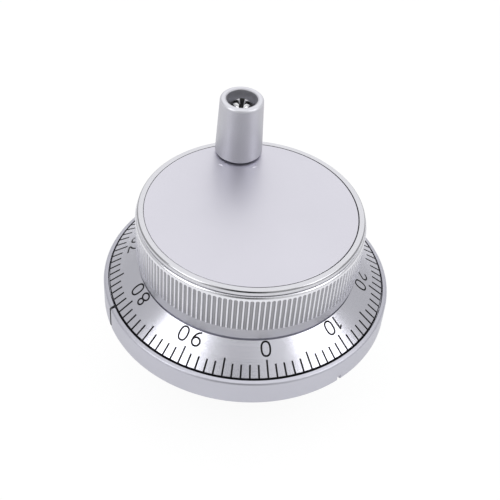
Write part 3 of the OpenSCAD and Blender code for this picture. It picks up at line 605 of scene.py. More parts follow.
def satin_metal(name, base, roughness=0.34, cloud=14 * MM, grain=0.12 * MM):
    """Fine satin aluminium: faint clouds, a dusting of grain and a slightly uneven gloss."""
    finish = Finish(name, base, roughness)
    finish.tint(finish.grain(cloud, 3.0), 0.965, 1.03)
    finish.rough(finish.grain(cloud * 0.6, 2.0, shift=0.3) * 0.08 + (roughness - 0.04))
    finish.bump(finish.grain(grain, 2.0), 0.002 * MM, 0.5)
    return finish.material


def knurled_metal(name, base, roughness, knob):
    """Bright metal, with painted shade towards the roots of the grooves, a little on the plain rim, more in
    the relief and on the rim's chamfer; the grooves are also duller.
    """
    finish = Finish(name, base, roughness)
    level = finish.vector("MULTIPLY", finish.place, (1.0, 1.0, 0.0))
    height = finish.height()
    ends = knob.band_high - knob.chamfer - knob.land
    grooved = height.ramp(ends - 0.1 * MM, ends + 0.05 * MM, 1.0, 0.0)
    rim = height.ramp(knob.band_high, knob.band_high + 0.05 * MM)
    relief_top = knob.band_high + knob.relief_height
    relief = rim * height.ramp(relief_top - 0.05 * MM, relief_top, 1.0, 0.0)
    reach_out = finish.number("LENGTH", level)
    depth = reach_out.ramp(knob.radius - knob.groove_depth * 0.8, knob.radius - 0.03 * MM, 1.0, 0.0)
    edge = knob.rim_radius - knob.rim_chamfer
    chamfer = reach_out.ramp(edge, edge + 0.04 * MM) * height.ramp(knob.rim_top - 0.05 * MM, knob.rim_top)
    ribbed = height.ramp(knob.band_low - 0.1 * MM, knob.band_low + 0.3 * MM, 0.33, 0.58)
    # Painted shade: darkest in the roots of the grooves, a little on the rim and strong in the relief; the
    # same mask makes these places rougher.
    painted_shade_and_dullness = grooved * depth * ribbed + rim * 0.2 + relief * 0.7
    # The rim's chamfer gets painted shade too, standing for the dark reflection it shows, and is made
    # smoother.
    finish.tint(painted_shade_and_dullness * 0.95 + chamfer * 0.3 + finish.grain(8 * MM, 3.0) * 0.05, 1.24, 0.1)
    finish.rough(painted_shade_and_dullness * 0.3 - chamfer * 0.14 + finish.grain(5 * MM) * 0.08 + (roughness - 0.04))
    finish.bump(finish.grain(0.2 * MM, 2.0), 0.002 * MM, 0.5)
    return finish.material


def turned_metal(name, base, roughness, lean, pitch, depth):
    """Aluminium turned in a lathe: circular tool marks that spread light across themselves."""
    finish = Finish(name, base, roughness)
    wave = finish.turned(lean, pitch, depth)
    finish.tint(wave * 0.5 + finish.grain(9 * MM) * 0.5, 0.93, 1.05)
    return finish.material


def blasted_metal(name, base, lip, roughness=0.54):
    """Bead-blasted aluminium: a dimpled skin, with a painted highlight at the foot and above the lip's height,
    where it is also smoother.
    """
    finish = Finish(name, base, roughness)
    level = finish.vector("MULTIPLY", finish.vector("SUBTRACT", finish.place, GRIP_AXIS), (1.0, 1.0, 0.0))
    height = finish.height()
    # Painted highlight on the top's outer edge above the lip's height, and in a thin band at the foot; these
    # places are also smoother.
    painted_highlight_and_polish = height.ramp(lip, lip + 0.5 * MM) * finish.number("LENGTH", level).ramp(4.6 * MM, 4.9 * MM)
    painted_highlight_and_polish = painted_highlight_and_polish + height.ramp(GRIP_LOW.z + 0.38 * MM, GRIP_LOW.z + 0.5 * MM, 1.0, 0.0)
    finish.tint(finish.grain(0.25 * MM, 3.0) * 0.3 + finish.grain(6 * MM) * 0.2 + painted_highlight_and_polish * 0.5, 0.96, 1.44)
    finish.rough(finish.grain(3 * MM) * 0.08 + painted_highlight_and_polish * -0.14 + (roughness - 0.04))
    finish.bump(finish.grain(0.18 * MM, 2.0), 0.006 * MM, 0.6)
    return finish.material


def plated_metal(name, base, roughness=0.2, grain=0.4 * MM):
    """Plated or ground metal: bright, with fine scuffs and dull patches."""
    finish = Finish(name, base, roughness)
    finish.tint(finish.grain(1.6 * MM, 4.0), 0.86, 1.06)
    finish.rough(finish.grain(0.8 * MM, 3.0) * 0.16 + (roughness - 0.06))
    finish.bump(finish.grain(grain, 3.0, (1.0, 1.0, 0.2)), 0.004 * MM, 0.4)
    return finish.material


def dull_material(name, base, roughness, grain, height, metallic=0.0, specular=0.5):
    """Plastic, ferrite, paint, laminate, iron or dark steel: an even colour with a fine skin texture."""
    finish = Finish(name, base, roughness, metallic, **{"Specular IOR Level": specular})
    finish.tint(finish.grain(4 * MM, 3.0), 0.86, 1.12)
    finish.rough(finish.grain(1.2 * MM, 2.0) * 0.14 + (roughness - 0.07))
    finish.bump(finish.grain(grain, 2.0), height, 0.6)
    return finish.material


FINISHES = {}


def make_finishes(colours, dial, knob):
    """Makes every finish once, under the record's slot names."""
    table = {
        "satin_aluminium": (satin_metal, colours.bezel, 0.38),
        "turned_aluminium": (turned_metal, colours.dial, 0.22, dial.lean, 0.05 * MM, 0.34),
        "knurled_aluminium": (knurled_metal, colours.knob, 0.24, knob),
        "plate_aluminium": (satin_metal, colours.cover, 0.38, 22 * MM, 0.1 * MM),
        "blasted_aluminium": (blasted_metal, colours.grip, GRIP_HIGH.z - 0.8 * MM),
        "bright_steel": (plated_metal, colours.steel),
        "ground_steel": (plated_metal, colours.ground, 0.26, 0.15 * MM),
        "spring_steel": (dull_material, colours.dark_steel, 0.45, 0.2 * MM, 0.004 * MM, 0.9),
        "soft_iron": (dull_material, colours.iron, 0.5, 0.4 * MM, 0.006 * MM, 1.0),
        "ferrite": (dull_material, colours.ferrite, 0.7, 0.25 * MM, 0.02 * MM),
        "black_moulding": (dull_material, colours.moulding, 0.5, 0.22 * MM, 0.014 * MM),
        "board_laminate": (dull_material, colours.board, 0.3, 1.2 * MM, 0.01 * MM),
        "chip_plastic": (dull_material, colours.chip, 0.6, 0.15 * MM, 0.01 * MM),
        "tinned_brass": (plated_metal, colours.brass, 0.26),
        "bush_plastic": (dull_material, colours.bush, 0.5, 0.2 * MM, 0.008 * MM),
        "cage_plastic": (dull_material, colours.cage, 0.45, 0.2 * MM, 0.008 * MM),
        "dial_paint": (dull_material, colours.paint, 0.6, 0.1 * MM, 0.003 * MM, 0.0, 0.2),
        "index_paint": (dull_material, colours.index, 0.6, 0.1 * MM, 0.003 * MM),
        "recess_black": (dull_material, colours.recess, 0.6, 0.1 * MM, 0.004 * MM),
    }
    for name, (make, base, *values) in table.items():
        FINISHES[name] = make(name, base, *values)


# ---- operators, one for each piece ----


class FinishNodes(bpy.types.Operator):
    """Makes the finishes and gives each CAD node the one of its slot"""

    bl_idname = "handwheel.finishes"
    bl_label = "Finishes"

    def execute(self, context):
        settings = context.scene.handwheel
        make_finishes(settings.colours, settings.dial, settings.knob)
        for row in frame["record"]["subparts"]:
            node = frame["nodes"][row["node"]]
            node.data.materials.clear()
            node.data.materials.append(FINISHES[row["material_slot"]])
        return {"FINISHED"}


class BuildBezel(bpy.types.Operator):
    """Turns the bezel, adds its posts and cuts its holes, index mark and notch"""

    bl_idname = "handwheel.bezel"
    bl_label = "Bezel"

    def execute(self, context):
        size = context.scene.handwheel.bezel
        edge, inner = size.radius / MM, size.band_inner / MM
        profile = [
            (8.03, -1), (11, -1), (11, 0), (27, 0), (27, -3, 0.15), (30, -3, 0.3), (30, 0),
            (edge - 0.4, 0, 0.2), (edge, 0.4, 0.2), (edge, 7.2, 0.25), (edge - 0.4, 7.6, 0.1),
            (38.8, 7.9, 0.08), (inner, 7.75, 0.05),
            (inner, 6.2), (24, 6.2), (24, 3), (13, 3), (13, 8), (11, 8), (11, 15), (10.5, 15), (10.5, 15.8),
            (11, 15.8), (11, 19.5, 0.2), (8.03, 19.5), (8.03, 14.5), (6.9, 14.5), (6.9, 6), (8.03, 6),
            (8.03, 1), (8.5, 1), (8.5, 0.2), (8.03, 0.2)]
        bezel = revolve("bezel_casing", profile, 300)
        posts = [rod(3.2 * MM, -9.4 * MM, 1 * MM, about(angle, POST_CIRCLE).xy) for angle in POST_ANGLES]
        combine(bezel, posts, "UNION")
        tools = []
        for angle in POST_ANGLES:
            tools.append(rod(1.6 * MM, -12 * MM, -1 * MM, about(angle, POST_CIRCLE).xy, 48))
            tools.append(rod(1.65 * MM, -1 * MM, 5 * MM, about(angle, FIXING_CIRCLE).xy, 48))
        combine(bezel, tools + [self.index_tool(size), self.notch_tool(size)])
        finish_piece(bezel, "base", "satin_aluminium", "bezel")
        self.paint_index(bezel, size)
        return {"FINISHED"}

    def paint_index(self, bezel, size):
        """Blackens the walls of the index groove."""
        outward = about(size.index_angle, 1.0)
        aside = Vector((-outward.y, outward.x, 0.0))
        # The index groove's walls are coloured near black.
        paint_faces(bezel, "index_paint",
                    lambda f: abs(f.normal.dot(aside)) > 0.3
                    and f.calc_center_median().dot(outward) > size.band_inner
                    and abs(f.calc_center_median().dot(aside)) < size.index_width)

    def index_tool(self, size):
        """A long V that scores the side and comes out over the band."""
        outward = about(size.index_angle, 1.0)
        aside = Vector((-outward.y, outward.x, 0.0))
        half = size.index_width / 2
        far = size.radius + 1 * MM
        grow = (size.index_depth + 1 * MM) / size.index_depth
        root = outward * (size.radius - size.index_depth)
        points = [root, outward * far + aside * half * grow, outward * far - aside * half * grow]
        side = prism("index_side", [p + Vector((0, 0, -1 * MM)) for p in points], (0, 0, 12 * MM))
        low = outward * (size.radius + 2 * MM) + Vector((0, 0, 6.9 * MM))
        high = low + Vector((0, 0, 3 * MM))
        flare = aside * half * 2.6
        top = prism("index_top", [low, high + flare, high - flare], outward * -4 * MM)
        return join([side, top])

    def notch_tool(self, size):
        """A small square notch in the back edge."""
        deselect()
        bpy.ops.mesh.primitive_cube_add(size=1, location=about(size.notch_angle, 40.2 * MM, 0.3 * MM),
                                        rotation=(0, 0, size.notch_angle),
                                        scale=(2.4 * MM, 1.3 * MM, 3.2 * MM))
        return bpy.context.object


class BuildDial(bpy.types.Operator):
    """Turns the dial's cone and drills its screw holes"""

    bl_idname = "handwheel.dial"
    bl_label = "Dial"

    def execute(self, context):
        size = context.scene.handwheel.dial
        edge, top = size.radius / MM, size.top_z / MM
        cone_z = size.edge_z / MM
        inner = edge - (top - cone_z) / math.tan(size.lean)
        dial = revolve("dial_cone", [
            (24.2, 6.6), (edge - 0.2, 6.6, 0.1), (edge, 6.8, 0.1), (edge, cone_z, 0.12), (inner, top),
            (24.2, top)], 300)
        tools = []
        for angle in DIAL_SCREW_ANGLES:
            spot = about(angle, DIAL_SCREW_CIRCLE).xy
            tools += [rod(2.3 * MM, 5 * MM, 10.6 * MM, spot, 40), rod(1.35 * MM, 5 * MM, 15 * MM, spot, 32)]
        combine(dial, tools)
        finish_piece(dial, "wheel", "turned_aluminium", "dial")
        return {"FINISHED"}


def on_cone(size, radius, angle, aside=0.0, lift=0.0):
    """A point on the dial's cone, moved sideways and lifted off it."""
    outward, sideways = about(angle, 1.0), Vector((-math.sin(angle), math.cos(angle), 0.0))
    height = size.edge_z + (size.radius - radius) * math.tan(size.lean)
    normal = outward * math.sin(size.lean) + Vector((0, 0, math.cos(size.lean)))
    return outward * radius + Vector((0, 0, height)) + sideways * aside + normal * lift


class BuildLines(bpy.types.Operator):
    """Paints the hundred lines, the ring at the dial's edge and painted shade down the dial's side"""

    bl_idname = "handwheel.lines"
    bl_label = "Dial lines"

    def execute(self, context):
        size = context.scene.handwheel.dial
        pitch = FULL_TURN / size.divisions
        group = [self.line(size, size.long_inner, 0.0)]
        group += [self.line(size, size.short_inner, pitch * step) for step in range(1, 5)]
        lines = join(group, "dial_lines")
        repeat(lines, size.divisions // 5 - 1, 5 * pitch)
        bpy.ops.mesh.normals_make_consistent(inside=False)
        bpy.ops.object.mode_set(mode="OBJECT")
        lines = join([lines, self.ring(size)], "dial_lines")
        finish_piece(lines, "wheel", "turned_aluminium", finish="dial_paint")
        return {"FINISHED"}

    def line(self, size, inner, turned_by):
        """One thin plate lying on the cone."""
        angle, half = size.zero_angle + turned_by, size.line_width / 2
        outer = size.ring_inner + 0.1 * MM
        corners = [on_cone(size, radius, angle, aside, -size.paint)
                   for radius, aside in ((inner, half), (outer, half), (outer, -half), (inner, -half))]
        push = on_cone(size, inner, angle, 0, size.paint) - on_cone(size, inner, angle, 0, -size.paint)
        return prism("line", corners, push)

    def ring(self, size):
        """The painted ring on the cone's edge, and painted shade down the dial's side in the gap to the bezel.
        """
        paint, inner, edge = size.paint / MM, size.ring_inner / MM, size.radius / MM
        cone_z = size.edge_z / MM
        rise = (edge - inner) * math.tan(size.lean)
        return revolve("ring", [
            (inner, cone_z + rise + paint), (edge + paint * 0.6, cone_z + paint, 0.1), (edge + paint, 6.9),
            (edge - 0.05, 6.9), (edge - 0.05, cone_z - 0.1), (inner, cone_z + rise - 0.06)], 300)


def bow(centre, radii, start, end, count=14):
    """Points along part of an ellipse, angles in degrees."""
    turns = [math.radians(start + (end - start) * k / count) for k in range(count + 1)]
    return [(centre[0] + radii[0] * math.cos(t), centre[1] + radii[1] * math.sin(t)) for t in turns]


def full_oval(radii, power, count=40):
    """A closed oval with fuller shoulders than an ellipse."""
    points = []
    for k in range(count):
        c, s = math.cos(FULL_TURN * k / count), math.sin(FULL_TURN * k / count)
        points.append((radii[0] * math.copysign(abs(c) ** (2 / power), c),
                       radii[1] * math.copysign(abs(s) ** (2 / power), s)))
    return points


# Strokes of each digit as (closed, points), in a box about one unit high round its middle.
DIGITS = {
    "0": [(True, full_oval((0.305, 0.5), 2.4))],
    "1": [(False, [(-0.17, 0.33), (0.08, 0.5)]), (False, [(0.08, 0.54), (0.08, -0.5)])],
    "2": [(False, bow((0.0, 0.22), (0.29, 0.28), 165, -28) + [(-0.31, -0.5)]),
          (False, [(-0.34, -0.5), (0.32, -0.5)])],
    "3": [(False, bow((-0.01, 0.245), (0.25, 0.255), 150, -70)
           + bow((0.0, -0.235), (0.3, 0.265), 82, -152))],
    "4": [(False, [(0.13, -0.5), (0.13, 0.5)]), (False, [(0.13, 0.5), (-0.32, -0.2)]),
          (False, [(-0.35, -0.2), (0.32, -0.2)])],
    "5": [(False, [(0.26, 0.5), (-0.21, 0.5), (-0.26, 0.06)] + bow((0.0, -0.18), (0.3, 0.32), 125, -150))],
    "6": [(True, bow((0.0, -0.2), (0.29, 0.3), 0, 345, 30)),
          (False, bow((0.28, -0.2), (0.57, 0.7), 180, 97))],
    "7": [(False, [(-0.31, 0.5), (0.34, 0.5)]),
          (False, [(0.31, 0.5)] + bow((0.62, -0.52), (0.75, 0.98), 112, 178, 10))],
    "8": [(True, bow((0.0, 0.265), (0.225, 0.235), 0, 345, 30)),
          (True, bow((0.0, -0.235), (0.3, 0.265), 0, 345, 30))],
    "9": [(True, bow((0.0, 0.2), (0.29, 0.3), 0, 345, 30)),
          (False, bow((-0.28, 0.2), (0.57, 0.7), 0, -83))],
}


class BuildNumbers(bpy.types.Operator):
    """Paints the numbers at every tenth line"""

    bl_idname = "handwheel.numbers"
    bl_label = "Dial numbers"

    def execute(self, context):
        size = context.scene.handwheel.dial
        drawn = {digit: self.digit(size, digit) for digit in DIGITS}
        placed = []
        for reading in range(0, size.divisions, 10):
            text = str(reading)
            widths = [size.number_advance * (ONE_SHARE if digit == "1" else 1.0) for digit in text]
            aside = -sum(widths) / 2
            for digit, width in zip(text, widths):
                middle = aside + width / 2
                angle = size.zero_angle + FULL_TURN * reading / size.divisions - middle / size.number_radius
                placed.append(self.place(size, drawn[digit], angle))
                aside += width
        for obj in drawn.values():
            bpy.data.objects.remove(obj, do_unlink=True)
        numbers = join(placed, "dial_numbers")
        finish_piece(numbers, "wheel", "turned_aluminium", finish="dial_paint", smooth=60)
        return {"FINISHED"}

    def digit(self, size, digit):
        """The digit's strokes, drawn as chains, thickened as curves and flattened."""
        parts = []
        for closed, points in DIGITS[digit]:
            chain = draw("digit_" + digit, [(x * size.number_height, y * size.number_height, 0.0)
                                            for x, y in points], closed)
            bpy.ops.object.mode_set(mode="OBJECT")
            bpy.ops.object.convert(target="CURVE")
            curve = bpy.context.object
            curve.data.dimensions = "3D"
            curve.data.bevel_depth = size.stroke / 2
            curve.data.bevel_resolution = 2
            curve.data.use_fill_caps = True
            bpy.ops.object.convert(target="MESH")
            parts.append(bpy.context.object)
        obj = join(parts, "digit_" + digit)
        obj.scale.z = 2 * size.paint / size.stroke
        bpy.ops.object.transform_apply(location=False, rotation=False, scale=True)
        return obj

    def place(self, size, source, angle):
        """A copy of a digit on the cone, with its head outwards."""
        pick(source)
        bpy.ops.object.duplicate(linked=False)
        obj = bpy.context.object
        outward, down = about(angle, 1.0), Vector((0, 0, -1))
        up = outward * math.cos(size.lean) + down * math.sin(size.lean)
        right = Vector((math.sin(angle), -math.cos(angle), 0.0))
        turned = Matrix((right, up, right.cross(up))).transposed().to_4x4()
        obj.matrix_world = Matrix.Translation(on_cone(size, size.number_radius, angle)) @ turned
        return obj


class BuildKnob(bpy.types.Operator):
    """Builds one pitch of the knurled knob, repeats it and drills the knob"""

    bl_idname = "handwheel.knob"
    bl_label = "Knob"

    def execute(self, context):
        size = context.scene.handwheel.knob
        ring = self.slice(size)
        repeat(ring, size.ribs - 1, FULL_TURN / size.ribs)
        knob = join([ring, self.core(size)], "knob_body")
        edit(knob)
        bpy.ops.mesh.remove_doubles(threshold=3e-7)
        choose(lambda f: all(abs(v.co.xy.length - size.split) < 1e-6 for v in f.verts)
               and abs(f.normal.z) < 0.5, "faces")
        bpy.ops.mesh.delete(type="FACE")
        bpy.ops.mesh.select_all(action="SELECT")
        bpy.ops.mesh.normals_make_consistent(inside=False)
        bpy.ops.object.mode_set(mode="OBJECT")
        finish_piece(knob, "wheel", "knurled_aluminium", "knob")
        return {"FINISHED"}

    def core(self, size):
        """The plain inside of the knob, with the grip's boss and the holes."""
        split = size.split / MM
        core = revolve("knob_core", [
            (4.03, 22.5), (19.8, 22.5), (19.8, 15), (23.03, 15), (23.03, 12.4), (24.15, 12.4), (24.15, 13.6),
            (split, 13.6), (split, 30.15), (26, 30.15), (26, 25.5), (4.03, 25.5)], size.ribs * 2)
        grip = GRIP_AXIS.xy
        boss = rod(size.boss_radius, 25.0 * MM, 30.15 * MM, grip)
        combine(boss, [rod(size.split - 0.5 * MM, 20 * MM, 35 * MM, sides=144)], "INTERSECT")
        combine(core, [boss], "UNION")
        tools = [rod(2.1 * MM, 20 * MM, 32 * MM, grip, 48)]
        for angle in FLANGE_SCREW_ANGLES:
            tools.append(rod(1.35 * MM, 20 * MM, 27 * MM, about(angle, FLANGE_SCREW_CIRCLE).xy, 32))
        return combine(core, tools)

    def slice(self, size):
        """One pitch of the knob's outside: its profile swept through it, with one round-bottomed groove."""
        crest, low, high = size.radius / MM, size.band_low / MM, size.band_high / MM
        chamfer, rim, top = size.chamfer / MM, size.rim_radius / MM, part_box("knob")[1].z / MM
        relief, step = rim - size.relief_depth / MM, size.rim_chamfer / MM
        recess, split = (size.cover_radius + size.seam) / MM, size.split / MM
        profile = [
            (split, 13.6), (29.5, 13.6), (29.5, 14.25), (30.1, 14.25), (30.3, 14.45), (30.3, low),
            (crest - chamfer, low, 0.08), (crest, low + chamfer, 0.12), (crest, high - chamfer, 0.12),
            (crest - chamfer, high, 0.1), (relief, high), (relief, high + size.relief_height / MM),
            (rim, high + size.relief_height / MM, 0.05), (rim, size.rim_top / MM, 0.06),
            (rim - step, top, 0.06), (recess, top, 0.05), (recess, 30.15), (split, 30.15)]
        pitch = FULL_TURN / size.ribs
        points = [about(pitch / 2, p[0] * MM, p[1] * MM) for p in profile]
        piece = outline("knob_body", profile, points, 2)
        bpy.ops.mesh.edge_face_add()
        bpy.ops.mesh.spin(steps=2, angle=pitch, center=(0, 0, 0), axis=(0, 0, 1))
        close_up()
        half = FULL_TURN * size.radius / size.ribs * (1 - size.crest_share) / 2
        groove = (half ** 2 + size.groove_depth ** 2) / (2 * size.groove_depth)
        centre = size.radius - size.groove_depth + groove
        ends = (size.chamfer + size.land) / MM
        wide, bend = groove / MM, groove / MM * 0.98
        tool = revolve("groove", [(0.001, low - 1), (wide, low - 1), (wide, high - ends, bend),
                                  (0.001, high - ends)], 20, (centre, 0.0), 6)
        combine(piece, [tool])
        edit(piece)
        away = pitch / 2 * 0.999
        choose(lambda f: all(abs(math.atan2(v.co.y, v.co.x)) > away for v in f.verts)
               and abs(f.normal.z) < 0.5 and abs(f.normal.y) > 0.9, "faces")
        bpy.ops.mesh.delete(type="FACE")
        bpy.ops.object.mode_set(mode="OBJECT")
        return piece


class BuildCover(bpy.types.Operator):
    """Turns the cover plate, presses the two marks by the grip and drills it"""

    bl_idname = "handwheel.cover"
    bl_label = "Cover plate"

    def execute(self, context):
        size = context.scene.handwheel.knob
        low, high = (corner.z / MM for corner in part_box("cover_plate"))
        edge = size.cover_radius / MM
        plate = revolve("cover_disc", [
            (0.5, low), (edge, low, 0.1), (edge, high, size.cover_round / MM), (0.5, high)], 240)
        pick(plate)
        bpy.ops.transform.translate(value=about(PLATE_SHIFT_ANGLE, size.plate_shift))
        bpy.ops.object.transform_apply(location=True, rotation=False, scale=False)
        bpy.ops.object.mode_set(mode="EDIT")
        choose(lambda v: v.co.xy.length < 0.6 * MM)
        bpy.ops.mesh.delete(type="VERT")
        bpy.ops.mesh.select_all(action="SELECT")
        bpy.ops.mesh.region_to_loop()
        bpy.ops.mesh.fill_holes(sides=0)
        close_up()
        marks = []
        for angle in MARK_ANGLES:
            spot = GRIP_AXIS.xy + about(angle, size.mark_radius).xy
            deselect()
            bpy.ops.mesh.primitive_uv_sphere_add(
                segments=32, ring_count=24, radius=0.5, location=(*spot, high * MM),
                rotation=(0, 0, angle + math.pi / 2),
                scale=(size.mark_length, size.mark_width, 2 * size.mark_depth))
            marks.append(bpy.context.object)
        combine(plate, marks)
        combine(plate, [rod(2.1 * MM, (low - 1) * MM, (high + 1) * MM, GRIP_AXIS.xy, 48)])
        finish_piece(plate, "wheel", "plate_aluminium", "cover_plate")
        return {"FINISHED"}


class BuildGrip(bpy.types.Operator):
    """Turns the grip and its screw, and sinks the cross in the screw's head"""

    bl_idname = "handwheel.grip"
    bl_label = "Grip"

    def execute(self, context):
        size = context.scene.handwheel.grip
        low, high = GRIP_LOW.z / MM, GRIP_HIGH.z / MM
        foot, top, chamfer = size.foot_radius / MM, size.top_radius / MM, size.foot_chamfer / MM
        mouth, bore = size.mouth_radius / MM, size.bore_radius / MM
        floor = high - size.mouth_depth / MM
        grip = revolve("grip_barrel", [
            (bore, low, 0.1), (foot - chamfer, low, 0.1), (foot, low + chamfer, 0.12),
            (top, high, size.lip / MM), (mouth, high, 0.3), (mouth, floor, 0.15), (bore, floor)
        ], 160, GRIP_AXIS.xy, 6)
        finish_piece(grip, "grip", "blasted_aluminium", "grip")
        self.screw(size)
        return {"FINISHED"}

    def screw(self, size):
        """The pan-headed screw with its cross recess."""
        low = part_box("grip_screw")[0].z / MM
        top, head = self.head_top(size) / MM, size.head_radius / MM
        under = top - size.head_height / MM
        screw = revolve("grip_screw_head", [
            (0.02, low), (1.7, low), (2.0, low + 0.3), (2.0, under), (head, under, 0.15),
            (head, under + 1.2, 0.5), (3.36, under + 1.97, 0.5), (2.08, top, 0.6), (0.02, top)
        ], 96, GRIP_AXIS.xy, 4)

        def central(v):
            return (v.co.xy - GRIP_AXIS.xy).length < 0.05 * MM

        edit(screw)
        for upper in (True, False):
            choose(lambda v: central(v) and (v.co.z > (low + 1) * MM) == upper)
            bpy.ops.mesh.merge(type="CENTER")
        choose(lambda f: all(central(v) for v in f.verts), "faces")
        bpy.ops.mesh.delete(type="FACE")
        close_up()
        tools = [self.wing(size, 0), self.wing(size, 90),
                 rod(0.35 * MM, self.head_top(size) - size.recess_depth, self.head_top(size) + 0.2 * MM,
                     GRIP_AXIS.xy, 24, 1.5 * MM)]
        combine(screw, tools)
        finish_piece(screw, "wheel", "bright_steel", "grip_screw")
        # Painted shadow, near black, on the faces inside the cross recess.
        floor, rim = self.head_top(size) - size.recess_depth - 0.1 * MM, self.head_top(size) - 0.45 * MM
        paint_faces(screw, "recess_black",
                    lambda f: (f.calc_center_median().xy - GRIP_AXIS.xy).length < size.recess_reach
                    and floor < f.calc_center_median().z < rim)

    def head_top(self, size):
        """The head keeps its seat, so a taller head ends higher."""
        return HEAD_SEAT + size.head_height

    def wing(self, size, degrees):
        """One blade of the cross, narrower at its foot."""
        deselect()
        middle = self.head_top(size) - size.recess_depth / 2 + 0.15 * MM
        bpy.ops.mesh.primitive_cube_add(size=1, location=(*GRIP_AXIS.xy, middle),
                                        rotation=(0, 0, math.radians(degrees) + size.recess_turn),
                                        scale=(2 * size.recess_reach, size.recess_width,
                                               size.recess_depth + 0.3 * MM))
        obj = bpy.context.object
        bpy.ops.object.mode_set(mode="EDIT")
        choose(lambda v: v.co.z < 0)
        bpy.ops.transform.resize(value=(0.42, 0.42, 1.0), center_override=(*GRIP_AXIS.xy, 0.0))
        bpy.ops.object.mode_set(mode="OBJECT")
        return obj


class BuildRear(bpy.types.Operator):
    """Rounds the edges of the rear cover, the terminals and the screws"""

    bl_idname = "handwheel.rear"
    bl_label = "Rear parts"

    def execute(self, context):
        rear = (("rear_cover", "rear_housing", 0.25), ("terminal_block", "terminal_strip", 0.2),
                ("terminal_plates", "terminal_clamps", 0.06),
                ("terminal_screws", "terminal_screw_heads", 0.08), ("cover_screws", "cover_screw_heads", 0.08))
        slots = {row["node"]: row["material_slot"] for row in frame["record"]["subparts"]}
        for node, name, edge in rear:
            finish_piece(copied_node(node, name, edge * MM), "base", slots[node], node)
        return {"FINISHED"}


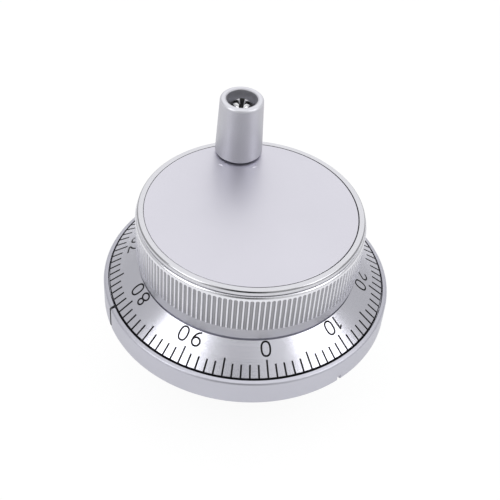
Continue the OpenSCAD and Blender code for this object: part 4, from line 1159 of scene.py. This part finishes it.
class BuildStudio(bpy.types.Operator):
    """Lays the floor and sets the lamps, the surroundings and the camera"""

    bl_idname = "handwheel.studio"
    bl_label = "Studio"

    def execute(self, context):
        studio = context.scene.handwheel.studio
        self.floor(context.scene.handwheel.colours)
        self.surroundings(context.scene, studio)
        self.lamp(studio, "left_softbox", math.radians(94))
        self.lamp(studio, "right_softbox", math.radians(232))
        self.camera(context.scene, studio)
        context.scene.view_settings.view_transform = "Standard"
        return {"FINISHED"}

    def floor(self, colours):
        """A wide pale floor under the lowest point, white to the camera and with the object's shadow."""
        deselect()
        bpy.ops.mesh.primitive_plane_add(size=6.0, location=(0, 0, CAD_BOX[0].z - 0.02 * MM))
        floor = bpy.context.object
        floor.name = floor.data.name = "studio_floor"
        finish = Finish("studio_floor", colours.floor, 0.9, 0.0)
        glow = finish.add("ShaderNodeEmission", {}, {"Color": (1, 1, 1, 1), "Strength": 1.04})
        path = finish.add("ShaderNodeLightPath")
        to_camera, to_gloss = (Value(finish, path.outputs[key]) for key in ("Is Camera Ray", "Is Glossy Ray"))
        mix = finish.add("ShaderNodeMixShader", {}, {0: to_camera * 0.9 + to_gloss * 0.3,
                                                     1: finish.shader.outputs[0], 2: glow.outputs[0]})
        finish.tree.links.new(mix.outputs[0], finish.output.inputs["Surface"])
        floor.data.materials.append(finish.material)

    def surroundings(self, scene, studio):
        """Brighter opposite and high over the camera, dark behind it, and plain white where it looks."""
        world = bpy.data.worlds.new("studio_world")
        scene.world = world
        nodes = Nodes(world)
        facing = nodes.add("ShaderNodeTexCoord").outputs["Generated"]
        behind = studio_direction(studio.azimuth, math.radians(46))
        opposite = studio_direction(studio.azimuth + math.pi, math.radians(46))
        above = studio_direction(studio.azimuth, math.radians(78))
        light = nodes.number("DOT_PRODUCT", facing, behind).ramp(0.93, 0.98, studio.overhead, studio.dark)
        extra = studio.sky - studio.overhead
        light += nodes.number("DOT_PRODUCT", facing, opposite).ramp(0.62, 0.96, 0.0, extra)
        light += nodes.number("DOT_PRODUCT", facing, above).ramp(0.86, 0.97, 0.0, studio.top)
        seen = nodes.add("ShaderNodeLightPath").outputs["Is Camera Ray"]
        mix = nodes.add("ShaderNodeMix", {"data_type": "FLOAT"}, {"Factor": seen, "A": light, "B": 1.0})
        glow = nodes.add("ShaderNodeBackground", {}, {"Color": (1, 1, 1, 1),
                                                      "Strength": mix.outputs["Result"]})
        nodes.add("ShaderNodeOutputWorld", {}, {"Surface": glow.outputs[0]})

    def lamp(self, studio, name, angle):
        """A square soft lamp that faces the knob."""
        aim = Vector((0, 0, 15 * MM))
        away = about(angle, math.cos(LAMP_HEIGHT), math.sin(LAMP_HEIGHT))
        deselect()
        bpy.ops.object.light_add(type="AREA", location=aim + away * studio.lamp_distance)
        lamp = bpy.context.object
        lamp.name = lamp.data.name = name
        lamp.rotation_euler = away.to_track_quat("Z", "Y").to_euler()
        lamp.data.shape = "SQUARE"
        lamp.data.size = studio.lamp_size
        lamp.data.energy = studio.lamp_power

    def camera(self, scene, studio):
        """The camera at its place, turned about its own axis."""
        back = studio_direction(studio.azimuth, studio.elevation)
        side = (-back).cross(Vector((0, 0, 1))).normalized()
        upright = side.cross(-back)
        right = side * math.cos(studio.roll) + upright * math.sin(studio.roll)
        up = right.cross(-back)
        deselect()
        bpy.ops.object.camera_add()
        camera = bpy.context.object
        camera.name = camera.data.name = "camera"
        turned = Matrix((right, up, back)).transposed().to_4x4()
        camera.matrix_world = Matrix.Translation(Vector(studio.aim) + back * studio.distance) @ turned
        camera.data.lens = studio.lens
        camera.data.clip_start = 0.01
        camera.data.clip_end = 20
        scene.camera = camera


def studio_direction(azimuth, elevation):
    """The direction from the object to a camera at that azimuth and elevation."""
    return Vector((math.sin(azimuth) * math.cos(elevation), -math.cos(azimuth) * math.cos(elevation),
                   math.sin(elevation)))


OPERATORS = (FinishNodes, BuildBezel, BuildDial, BuildLines, BuildNumbers, BuildKnob, BuildCover, BuildGrip,
             BuildRear, BuildStudio)


class HandwheelPanel(bpy.types.Panel):
    """Lists the handwheel's steps and sizes"""

    bl_idname = "VIEW3D_PT_handwheel"
    bl_label = "Handwheel"
    bl_space_type = "VIEW_3D"
    bl_region_type = "UI"
    bl_category = "Handwheel"

    def draw(self, context):
        settings = context.scene.handwheel
        for operator in OPERATORS:
            self.layout.operator(operator.bl_idname)
        for name in ("bezel", "dial", "knob", "grip", "colours", "studio"):
            group = getattr(settings, name)
            box = self.layout.box()
            box.label(text=name.capitalize())
            for key in group.__annotations__:
                box.prop(group, key)


CLASSES = (BezelSizes, DialSizes, KnobSizes, GripSizes, FinishColours, StudioValues, HandwheelSettings,
           *OPERATORS, HandwheelPanel)


def register():
    for cls in CLASSES:
        bpy.utils.register_class(cls)
    bpy.types.Scene.handwheel = PointerProperty(type=HandwheelSettings)


def unregister():
    del bpy.types.Scene.handwheel
    for cls in reversed(CLASSES):
        bpy.utils.unregister_class(cls)


def main():
    register()
    for operator in OPERATORS:
        group, name = operator.bl_idname.split(".")
        getattr(getattr(bpy.ops, group), name)()


if __name__ == "__main__":
    main()
